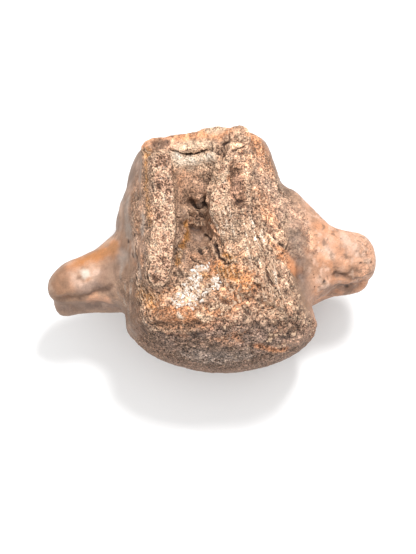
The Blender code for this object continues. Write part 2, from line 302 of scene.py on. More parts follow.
def normals_of(points, quads):
    """Smooth normal at every point, weighted by face area."""
    across = points[quads[:, 2]] - points[quads[:, 0]]
    along = points[quads[:, 3]] - points[quads[:, 1]]
    faces = np.cross(across, along)
    total = np.zeros_like(points)
    for axis in range(3):
        for corner in range(4):
            total[:, axis] += np.bincount(quads[:, corner], faces[:, axis], len(points))
    return total / np.maximum(np.linalg.norm(total, axis=1, keepdims=True), 1e-12)


points, quads = remeshed(solids, SKIN_STEP, SMOOTHING)
normals = normals_of(points, quads)
points = points - normals * SWELL / MM
print("skin of", len(points), "points and", len(quads), "quads")

# %% [markdown]
# ## Noise to sculpt and paint with
#
# Bone and stone vary at every scale. Two kinds of noise cover nearly all of it: clouds, which is
# smooth noise added up over several sizes, and grains, which scatters centres and tells each point
# how far it is from the nearest. Both hash whole-numbered corners, so every run gives the same bone.

# %% Noise
def corner_number(corner, seed):
    """A repeatable number from 0 to 1 for each whole-numbered corner."""
    n = corner.astype(np.int64)
    mixed = n[..., 0] * 73856093 ^ n[..., 1] * 19349663 ^ n[..., 2] * 83492791 ^ (seed * 40503 + 977)
    mixed = (mixed ^ (mixed >> 13)) * 1274126177
    mixed = mixed ^ (mixed >> 15)
    return (mixed & 0xFFFF) / 65535.0


def clouds(place, size, seed, octaves=4, stretch=(1, 1, 1), gain=0.55):
    """Fractal noise from about -1 to 1. size is the widest feature in mm."""
    total = np.zeros(len(place))
    weight, weights = 1.0, 0.0
    scaled = place / (size * np.array(stretch, dtype=float))
    for octave in range(octaves):
        base = np.floor(scaled)
        part = scaled - base
        part = part * part * (3 - 2 * part)
        value = np.zeros(len(place))
        for corner in range(8):
            step = np.array([corner & 1, corner >> 1 & 1, corner >> 2 & 1])
            share = np.prod(np.where(step, part, 1 - part), axis=1)
            value += share * corner_number(base + step, seed + 31 * octave)
        total += weight * (2 * value - 1)
        weights += weight
        weight *= gain
        scaled = scaled * 2.03 + 17.1
    return total / weights


def grains(place, size, seed, stretch=(1, 1, 1)):
    """Distances to the nearest two scattered centres, in grain sizes, and the nearest's number."""
    scaled = place / (size * np.array(stretch, dtype=float))
    base = np.floor(scaled)
    nearest = np.full(len(place), 9.0)
    following = np.full(len(place), 9.0)
    number = np.zeros(len(place))
    for step in np.ndindex(3, 3, 3):
        cell = base + np.array(step) - 1
        centre = cell + np.stack([corner_number(cell, seed + k) for k in range(3)], axis=1)
        distance = np.linalg.norm(scaled - centre, axis=1)
        closer = distance < nearest
        following = np.where(closer, nearest, np.minimum(following, distance))
        number = np.where(closer, corner_number(cell, seed + 5), number)
        nearest = np.where(closer, distance, nearest)
    return nearest, following, number


def rise(value, low, high):
    """0 below low, 1 above high, smooth between."""
    share = np.clip((value - low) / (high - low), 0, 1)
    return share * share * (3 - 2 * share)


def streaks(place, along, width, length, seed, octaves=3):
    """Noise drawn out along a direction. width and length are in mm."""
    along = np.array(along, dtype=float)
    along /= np.linalg.norm(along)
    side = np.cross(along, (0, 0, 1.0))
    side /= np.linalg.norm(side)
    turned = np.stack([place @ side / width, place @ along / length, place @ np.cross(side, along) / width])
    return clouds(turned.T, 1, seed, octaves)


wander = clouds(points, 2.0, 3, octaves=4)
bend = np.stack([clouds(points, 3.0, seed, octaves=4) for seed in (4, 5, 6)], axis=1)
bend -= np.einsum("ij,ij->i", bend, normals)[:, None] * normals
print("wander from", round(wander.min(), 2), "to", round(wander.max(), 2))

# %% [markdown]
# ## Marks that follow the photo
#
# A mark is a short line of photo pixels. Each pixel is sent down the camera's ray to the skin, and
# the mark is every point of the skin near the line through those places, in three dimensions. So a
# mark on a flank doesn't bleed through to the underside. The line is bent and its edge is broken up
# with noise, because no stain or crack has a ruled edge. The bend runs along the surface only, or a
# thin crack would drift off it and vanish.

# %% Marks
BEND = 0.9                  # mm that a mark strays from a straight line
skin_tree = BVHTree.FromPolygons([Vector(p) for p in points], quads.tolist())
unbent = points.copy()
bent = points + BEND * bend


def distance_to_line(place, line):
    """Distance in mm from every point to a line through a few places."""
    if len(line) == 1:
        return np.linalg.norm(place - line[0], axis=1)
    least = np.full(len(place), 1e9)
    for start, end in zip(line, line[1:]):
        along = end - start
        share = np.clip((place - start) @ along / max(along @ along, 1e-9), 0, 1)
        least = np.minimum(least, np.linalg.norm(place - start - share[:, None] * along, axis=1))
    return least


def mark(pixels, half_width, soft=0.5, ragged=0.5):
    """1 on the mark and 0 away from it. half_width is in mm, soft and ragged are shares of it."""
    line = np.array([on_surface(skin_tree, 1 / MM, *pixel) for pixel in pixels])
    reach = half_width * (1 + soft + ragged) + 2
    inside = (unbent > line.min(axis=0) - reach) & (unbent < line.max(axis=0) + reach)
    near = np.flatnonzero(inside.all(axis=1))
    distance = distance_to_line(bent[near], line) + wander[near] * half_width * ragged
    amount = np.zeros(len(unbent))
    amount[near] = 1 - rise(distance, half_width * (1 - soft), half_width * (1 + soft))
    return amount


middle_hit = on_surface(skin_tree, 1 / MM, IMAGE_WIDTH / 2, IMAGE_HEIGHT / 2)
print("the middle of the photo lands on", [round(v, 1) for v in middle_hit], "mm")

# %% [markdown]
# ## Regions of the bone
#
# Before any detail, every point learns what kind of surface it lies on. The back of the bone was
# broken and weathered, so it is rough. The flanks and processes kept their smooth outer bone. The
# condyle's joint surface has lost its skin and shows fine pits, and its lower half is smooth again.
# A region's edge fades between a pair of limits in mm. Heights are above the floor, and the other
# limits are from the middle of the bone.

# %% Regions
BACK_HEIGHT = (40, 44)
BACK_BREADTH = (22, 27)
PROCESS_START = (27, 33)
CONDYLE_START = (23.5, 26.5)
PIT_LIFT = 12               # mm that the canal's pit lies deeper than the rest of the back
FRONT_LEAN = math.radians(12)

x, y, z = points.T
upward = rise(normals[:, 2], 0.15, 0.75)
pit = mark([(187, 212), (200, 214)], 4.0)
back_of_bone = upward * rise(z + PIT_LIFT * pit, *BACK_HEIGHT) * (1 - rise(np.abs(x + 1), *BACK_BREADTH))
processes = rise(np.abs(x), *PROCESS_START)
condyle = rise(-y, *CONDYLE_START)
flanks = (1 - back_of_bone) * (1 - processes) * (1 - condyle)
canal_floor = np.maximum.reduce([
    mark([(185, 180), (195, 192), (199, 200)], 4.6, soft=0.4),
    mark([(192, 238), (204, 252), (192, 262)], 4.2, soft=0.4),
    mark([(236, 172), (237, 188), (238, 200)], 2.0, soft=0.5),
])
lip_front = mark([(152, 142), (175, 140), (205, 138), (225, 135)], 3.0, soft=0.4)
right_flank = mark([(262, 170), (278, 205), (288, 240)], 8.0, soft=0.4)
felted = mark([(218, 210), (228, 222), (240, 232), (246, 250)], 4.5, soft=0.4)
slab = mark([(160, 317), (185, 316), (203, 320)], 2.8, soft=0.3)
right_corner = mark([(292, 342), (305, 334)], 3.0, soft=0.4)
rear_grain = mark([(242, 305), (270, 315), (296, 328)], 7.5, soft=0.4)
condyle_grain = condyle * rise(z, 12, 30)
LEFT_STUMP = [(165, 161), (166, 200), (163, 235), (160, 262), (158, 274)]
RIGHT_STUMP = [(221, 166), (219, 182), (216, 196), (218, 205)]
left_sponge = mark(LEFT_STUMP, 3.3, soft=0.15, ragged=0.25)
right_sponge = mark(RIGHT_STUMP, 2.6, soft=0.25, ragged=0.4)
sponge = np.maximum.reduce([left_sponge, right_sponge, 0.3 * felted])
left_of_stump = rise(-x, 18.5, 20.5) * rise(y, -8, -3)
right_ridge = mark([(251, 228), (257, 250), (265, 272), (274, 292)], 3.6, soft=0.5, ragged=0.8)
broken_tip = mark([(364, 243), (370, 254), (370, 268), (362, 278)], 2.4, soft=0.5)
lower_flank = mark([(284, 278), (289, 298), (296, 314)], 4.5)
orange_patch = mark([(286, 256), (294, 268)], 2.2)
ledge = mark([(175, 159), (190, 162), (211, 159)], 2.0)
neck = mark([(294, 228), (298, 240), (302, 256)], 3.0)
left_flank = rise(-x, 18, 21) * (1 - processes) * (1 - condyle)
rim_height = points @ np.array((0, math.cos(FRONT_LEAN), -math.sin(FRONT_LEAN)))
cup_depth = (rim_height.max() - rim_height) * rise(normals[:, 1], 0.5, 0.75) * rise(y, 10, 16)
print("share of the skin on the back of the bone:", round(float(back_of_bone.mean()), 3))

# %% [markdown]
# ## How rough each place is
#
# Broken and weathered bone counts as rough, and worn or still covered bone as smooth. The first
# value steers the relief and the paint. The second one steers the finest grain, which also shows on
# the canal's floor and on the slab, where the relief is low.

# %% Roughness
rough = 0.16 + 0.2 * left_flank + 0.5 * lower_flank + 0.88 * back_of_bone + 0.65 * right_flank
rough += 0.84 * condyle_grain + 0.25 * broken_tip + 0.12 * rise(cup_depth, 0, 1)
rough -= 0.4 * orange_patch + 0.35 * neck + 0.3 * ledge + 0.5 * canal_floor + 0.35 * lip_front
rough -= 0.5 * (slab + right_corner + left_of_stump)
rough = np.clip(rough, 0.1, 1)
fine_grit = 0.85 * rough + 0.4 * (canal_floor + slab) + 0.3 * condyle_grain - 0.1 * lip_front
fine_grit = np.clip(fine_grit, 0.05, 1)
print("mean roughness:", round(float(rough.mean()), 3))

# %% [markdown]
# ## Relief
#
# The relief is added up as one height for each point, in mm along the normal, and applied at the
# end. First come the forms of this bone: funnels, banks and steps, which are wide soft marks. A row
# gives a form's line of pixels, its half width in mm, and how many mm it rises or sinks. Then come
# lumps, then fibres that run along the bone or down its right flank, then grain.

# %% Forms
FORMS = (
    # canal, and the trough beside the right stump
    ([(184, 182), (194, 194), (199, 203)], 3.6, -0.4),
    ([(236, 168), (237, 186), (239, 200)], 1.9, -2.0),
    ([(244, 170), (247, 190), (250, 204)], 0.9, 0.7),
    ([(191, 240), (200, 252), (196, 262)], 2.6, -0.7),
    ([(193, 228), (199, 230)], 1.3, -1.1),
    # either side of the crack behind the lip
    ([(178, 168), (194, 169), (206, 167)], 1.0, -0.5),
    ([(174, 149), (188, 150), (205, 147)], 0.9, 0.4),
    # banks of the cleft
    ([(206, 240), (214, 249), (220, 257)], 0.8, 0.6),
    ([(225, 236), (229, 250), (233, 262)], 1.2, 0.5),
    ([(181, 224), (187, 236), (182, 247)], 1.3, -0.4),
    # undercut of the slab, and the step below it
    ([(154, 323), (172, 326), (187, 325), (199, 323)], 0.9, -0.5),
    ([(153, 329), (175, 331), (196, 331), (206, 327)], 0.7, 0.5),
    # orange hollow on the right flank
    ([(285, 253), (291, 263), (297, 273)], 1.9, -0.5),
    ([(290, 246), (300, 262), (301, 277)], 1.1, -0.5),
    ([(281, 243), (288, 248)], 1.0, -0.5),
    # ridge and groove down the right bank
    ([(250, 168), (258, 210), (268, 255), (276, 288)], 1.3, 0.6),
    ([(271, 178), (276, 205), (284, 232)], 1.4, -0.5),
    ([(262, 284), (271, 290), (280, 300)], 1.0, 0.5),
    # right process and its neck
    ([(326, 277), (345, 276), (358, 270), (372, 263)], 1.0, -0.6),
    ([(338, 286), (348, 287)], 1.6, -0.6),
    ([(364, 255), (368, 257)], 1.2, -0.6),
    ([(305, 235), (306, 258), (303, 276)], 2.2, -0.5),
    ([(323.6, 281.4)], 2.1, 0.7),
    # left process
    ([(81.5, 278)], 1.4, -0.6),
    ([(75, 283), (84, 287), (94, 285)], 1.2, -0.3),
    ([(88, 271), (93, 275)], 1.8, 0.3),
    ([(60, 299), (77, 297), (91, 295), (104, 289)], 1.2, -0.7),
    # left flank, corner of the lip, rear corner
    ([(130, 240), (134, 262), (132, 280)], 1.6, -0.4),
    ([(156, 146), (162, 145)], 1.6, -0.6),
    ([(268, 355), (279, 353)], 0.9, -0.5),
    ([(300, 340), (306, 330)], 2.0, 0.4),
    # bar across the canal
    ([(180, 213), (190, 212), (204, 213)], 1.9, 2.2),
    # broken tip of the right process
    ([(370, 252), (368, 246)], 1.5, -1.0),
    ([(358, 236), (361, 238)], 1.4, -0.5),
    ([(350, 286), (358, 283)], 1.6, -0.8),
    ([(368, 279), (363, 285)], 1.8, -1.4),
    ([(336, 273), (347, 276), (361, 281)], 0.9, -0.5),
    ([(338, 233), (350, 236)], 1.2, 0.5),
)

height = np.zeros(len(points))
for pixels, half_width, lift in FORMS:
    height += lift * mark(pixels, half_width, soft=0.8, ragged=0.4)
print("forms from", round(height.min(), 2), "to", round(height.max(), 2), "mm")

# %% Lumps, fibres and grain
DOWN_THE_RIDGE = (0.25, -1, -0.1)
ACROSS_THE_FLANK = (1, -0.9, -0.6)
wide = clouds(points, 13, 11, octaves=3)
lumps = clouds(points, 4.2, 12, octaves=4)
crumbs = clouds(points, 1.5, 14, octaves=3)
fibres = streaks(points, (0.05, 1, 0), 0.9, 4.5, 13)
canal_fibres = streaks(points, (0.5, -1, -0.4), 0.55, 3.5, 18)
ridge_fibres = streaks(points, DOWN_THE_RIDGE, 0.75, 6.0, 15)
flank_fibres = streaks(points, ACROSS_THE_FLANK, 0.8, 4.0, 16)
nearest, following, number = grains(points, 1.25, 21)

nodules = 1 - grains(points + 0.8 * bend, 2.7, 31)[0]
height += 0.9 * nodules * rear_grain + 0.35 * nodules * rough * (1 - condyle)
layers = points @ np.array((0.35, 0.25, 1.0)) / 1.1 + 1.3 * lumps
ledges = rise(layers - np.floor(layers), 0.55, 0.95) + np.floor(layers) - layers
ridged = 1 - 2 * np.abs(clouds(points, 2.4, 17, octaves=3))
grain = rough * (0.20 * crumbs + 0.22 * (0.5 - nearest) + 0.10 * fibres)
grain += 0.30 * right_flank * flank_fibres + 0.45 * np.maximum(felted, right_ridge) * ridge_fibres
grain += 0.16 * canal_floor * canal_fibres + 0.12 * (1 - rough) * crumbs * (0.3 + 0.7 * flanks)
creases = rough * (1 - rise(np.abs(clouds(points, 2.8, 91, octaves=4)), 0.0, 0.06))
height += 0.22 * wide - 0.3 * creases + lumps * (0.08 + 0.42 * rough) + 0.25 * rough * ridged
height += 0.45 * ledges * rough * (1 - canal_floor) * (1 - condyle)
height += grain
print("relief from", round(height.min(), 2), "to", round(height.max(), 2), "mm")

# %% [markdown]
# ## Cracks and holes
#
# These narrow marks make it this bone and no other: the crack behind the lip, the gap beside the
# lip's knob, the cleft in the floor of the neural canal, the vessel holes. A row gives the line of
# pixels, the half width and the depth, both in mm. The thinnest cracks are hardly wider than a square
# of the skin, so their sides are steep. They are also painted dark, as painted shade inside them.

# %% Cracks
CRACKS = (
    # behind the lip and beside its knob
    ([(171, 151), (179, 152.7), (187, 153.8), (196, 153), (207, 150.5)], 0.22, -0.7),
    ([(212, 143), (212.5, 150), (212, 157)], 0.2, -0.3),
    ([(229, 134), (228.6, 141), (228.6, 150)], 0.25, -0.6),
    ([(223, 143.5), (227, 142)], 0.4, -0.5),
    ([(228, 151.5), (233, 152), (239, 150), (244, 147)], 0.22, -0.5),
    # pit of the canal
    ([(194, 207.5), (199, 206.5), (204, 204)], 0.9, -0.5),
    ([(177, 217), (187, 216.5), (198, 218)], 0.3, -1.0),
    ([(188, 212), (197, 213), (206, 216)], 0.3, -0.6),
    # cleft in the floor of the canal
    ([(205, 235), (211, 240), (216, 246.5), (220, 258), (225, 262)], 0.36, -1.0),
    ([(224, 265), (230, 263.5)], 0.35, -0.8),
    ([(200, 249), (203, 252)], 0.6, -0.7),
    ([(192, 256), (196, 260), (203, 265)], 0.3, -0.7),
    # foot of the trough
    ([(237, 195), (240, 200.5), (247, 202)], 0.25, -0.4),
    # left flank
    ([(136.5, 243), (136, 254), (138.3, 265), (138, 271)], 0.2, -0.3),
    ([(128, 240), (128.5, 242)], 0.3, -0.2),
    ([(134, 233), (134.5, 236)], 0.3, -0.2),
    ([(132, 254), (133, 257)], 0.3, -0.2),
    ([(136, 275), (138, 279)], 0.4, -0.3),
    # rear edge
    ([(263, 355), (272, 354.5), (282, 352)], 0.4, -0.5),
    # groove round the end of the left stump
    ([(150, 262), (147, 276), (153, 286), (164, 287), (170, 276), (173, 262)], 0.4, -0.7),
    # right flank and right process
    ([(279.3, 187), (280, 191.5)], 0.7, -0.9),
    ([(322.5, 282), (324, 280.5)], 0.3, -0.5),
    ([(360, 264), (373, 262)], 0.25, -0.3),
    ([(341, 285), (346, 288)], 0.6, -0.4),
    ([(274.5, 238), (275.5, 239.5)], 0.6, -0.6),
    ([(281, 244), (284, 245)], 0.5, -0.6),
    # top of the left stump
    ([(166, 160), (173, 168)], 0.4, -0.4),
)

cracked = np.zeros(len(points))
for pixels, half_width, depth in CRACKS:
    on_mark = mark(pixels, half_width, soft=0.6, ragged=0.5)
    height += depth * on_mark
    cracked = np.maximum(cracked, on_mark)
print(len(CRACKS), "cracks and holes")

# %% [markdown]
# ## Move the skin
#
# The whole relief goes on in one step along the normals. Nothing may grow past the solids' own box,
# and the bone has to rest on the floor, so the points are held inside that box. Then every point is
# compared with its neighbourhood at two sizes: hollows will be painted darker as shade, and crests
# lighter as highlights.

# %% Apply the relief
low_mm = np.array(cad_low) / MM
high_mm = np.array(cad_high) / MM
points = np.clip(points + normals * height[:, None], low_mm, high_mm)
normals = normals_of(points, quads)
print("skin spans", (points.max(axis=0) - points.min(axis=0)).round(1), "mm")

# %% Hollows and crests
pairs = np.concatenate([quads[:, [k, (k + 1) % 4]] for k in range(4)])
pairs = pairs[pairs[:, 0] < pairs[:, 1]]
neighbours = np.bincount(pairs.ravel(), minlength=len(points))


def blurred(values, times):
    """Each value mixed with its neighbours', again and again."""
    for _ in range(times):
        total = np.bincount(pairs[:, 0], values[pairs[:, 1]], len(values))
        total += np.bincount(pairs[:, 1], values[pairs[:, 0]], len(values))
        values = 0.5 * values + 0.5 * total / neighbours
    return values


def hollowness(times):
    """How far each point lies below its surroundings, in mm."""
    around = np.stack([blurred(points[:, axis], times) for axis in range(3)], axis=1)
    return np.einsum("ij,ij->i", around - points, normals)


small_hollows = hollowness(8)
large_hollows = hollowness(70)
print("hollows down to", round(small_hollows.max(), 2), "and", round(large_hollows.max(), 2), "mm")

# %% [markdown]
# ## Colour
#
# The colour is painted on the points of the skin in thin layers, as a museum model maker would: a
# ground, then speckle, then wide areas and stains, then light and dark, and last painted shade in
# the hollows, cracks, creases and on the sides and undersides, and painted highlights on the crests.
# Each layer is a colour and a mask. The shader adds what is finer than the skin's points.

# %% Palette
FULL_LIGHT = 1.45           # how much brighter than its paint a lit surface looks here


def chart(red, green, blue):
    """A paint from a colour chart's numbers, 0 to 255, as the linear colour that Blender mixes."""
    shares = np.array((red, green, blue)) / 255
    return np.where(shares <= 0.04045, shares / 12.92, ((shares + 0.055) / 1.055) ** 2.4) / FULL_LIGHT


CREAM = chart(247, 210, 176)
WHITE = chart(255, 241, 222)
PINK = chart(236, 184, 153)
BLUSH = chart(253, 212, 186)
PEACH = chart(246, 180, 140)
OCHRE = chart(206, 140, 66)
TAN = chart(200, 158, 128)
ORANGE = chart(228, 154, 106)
RUST = chart(190, 116, 58)
BROWN = chart(140, 106, 82)
UMBER = chart(104, 70, 50)
DARK = chart(58, 36, 26)
GREY = chart(146, 120, 106)
OLIVE = chart(158, 128, 106)
ASH = chart(176, 166, 156)

tone = np.tile(TAN, (len(points), 1))
print("the ground colour is", TAN.round(3))


def paint(colour, amount):
    """Lays a colour over the skin. amount is from 0 to 1 for each point."""
    global tone
    amount = np.clip(amount, 0, 1)[:, None]
    tone = tone * (1 - amount) + colour * amount


# %% Ground
paint(OLIVE, flanks * 0.8)
paint(BROWN, flanks * 0.55 * rise(-x, 17, 21))
paint(PINK, 0.45 * back_of_bone * rise(lumps, -0.35, 0.35))
paint(GREY, condyle * 0.92)
paint(BROWN, condyle * 0.5 * rise(-x, 14, 22))
paint(TAN, processes * (x < 0) * 0.9)
paint(BROWN, 0.5 * rise(-x, 38, 48))
paint(BROWN, 0.5 * rise(cup_depth, 2, 9))
paint(PEACH, processes * (x > 0) * 0.85)
print("ground mean:", tone.mean(axis=0).round(3))

# %% Speckle
speckle = clouds(points, 1.0, 61, octaves=2)
patches = clouds(points, 3.4, 62, octaves=4)
paint(BROWN, rough * 0.5 * rise(patches, 0.10, 0.35))
paint(ORANGE, back_of_bone * 0.35 * rise(clouds(points, 5.0, 63, octaves=4), 0.12, 0.35))
paint(RUST, back_of_bone * 0.45 * rise(clouds(points, 3.6, 92, octaves=4), 0.16, 0.34))
paint(GREY, back_of_bone * 0.5 * rise(clouds(points, 4.4, 93, octaves=4), 0.16, 0.36))
paint(CREAM, rough * (1 - condyle) * 0.5 * rise(speckle, 0.2, 0.6))
paint(UMBER, rough * 0.55 * rise(-speckle, 0.18, 0.55))
fibrous = np.maximum(felted, right_ridge)
paint(TAN, fibrous * 0.6)
flank_streaks = streaks(points, (0.1, 1, 0.2), 1.1, 6.0, 19)
paint(ASH, left_flank * 0.5 * rise(flank_streaks, 0.08, 0.4))
paint(UMBER, left_flank * 0.55 * rise(-flank_streaks, 0.08, 0.4))
paint(WHITE, fibrous * 0.75 * rise(ridge_fibres, 0.10, 0.35))
paint(UMBER, fibrous * 0.8 * rise(-ridge_fibres, 0.08, 0.35))
paint(UMBER, canal_floor * 0.45 * rise(-canal_fibres, 0.1, 0.45))
paint(PINK, canal_floor * 0.4 * rise(canal_fibres, 0.1, 0.45))
paint(CREAM, right_flank * 0.45 * rise(flank_fibres, 0.1, 0.5))
paint(UMBER, right_flank * 0.4 * rise(-flank_fibres, 0.15, 0.5))
paint(CREAM, condyle_grain * 0.5 * rise(number, 0.72, 0.9) * (1 - rise(nearest, 0.2, 0.5)))

# %% [markdown]
# ## Areas and stains
#
# Iron left rust and orange, clay left grey, and calcite left white. They were read off the photo one
# by one, the wide areas first and the small stains over them. Each needs its colour, its half width
# in mm, how strong it is, and the line of pixels that it follows.

# %% Areas and stains
def stain(rows):
    """Paints soft-edged marks, one row after another."""
    for colour, half_width, strength, pixels in rows:
        paint(colour, strength * mark(pixels, half_width, soft=0.8, ragged=0.9))
    print(len(rows), "areas and stains")


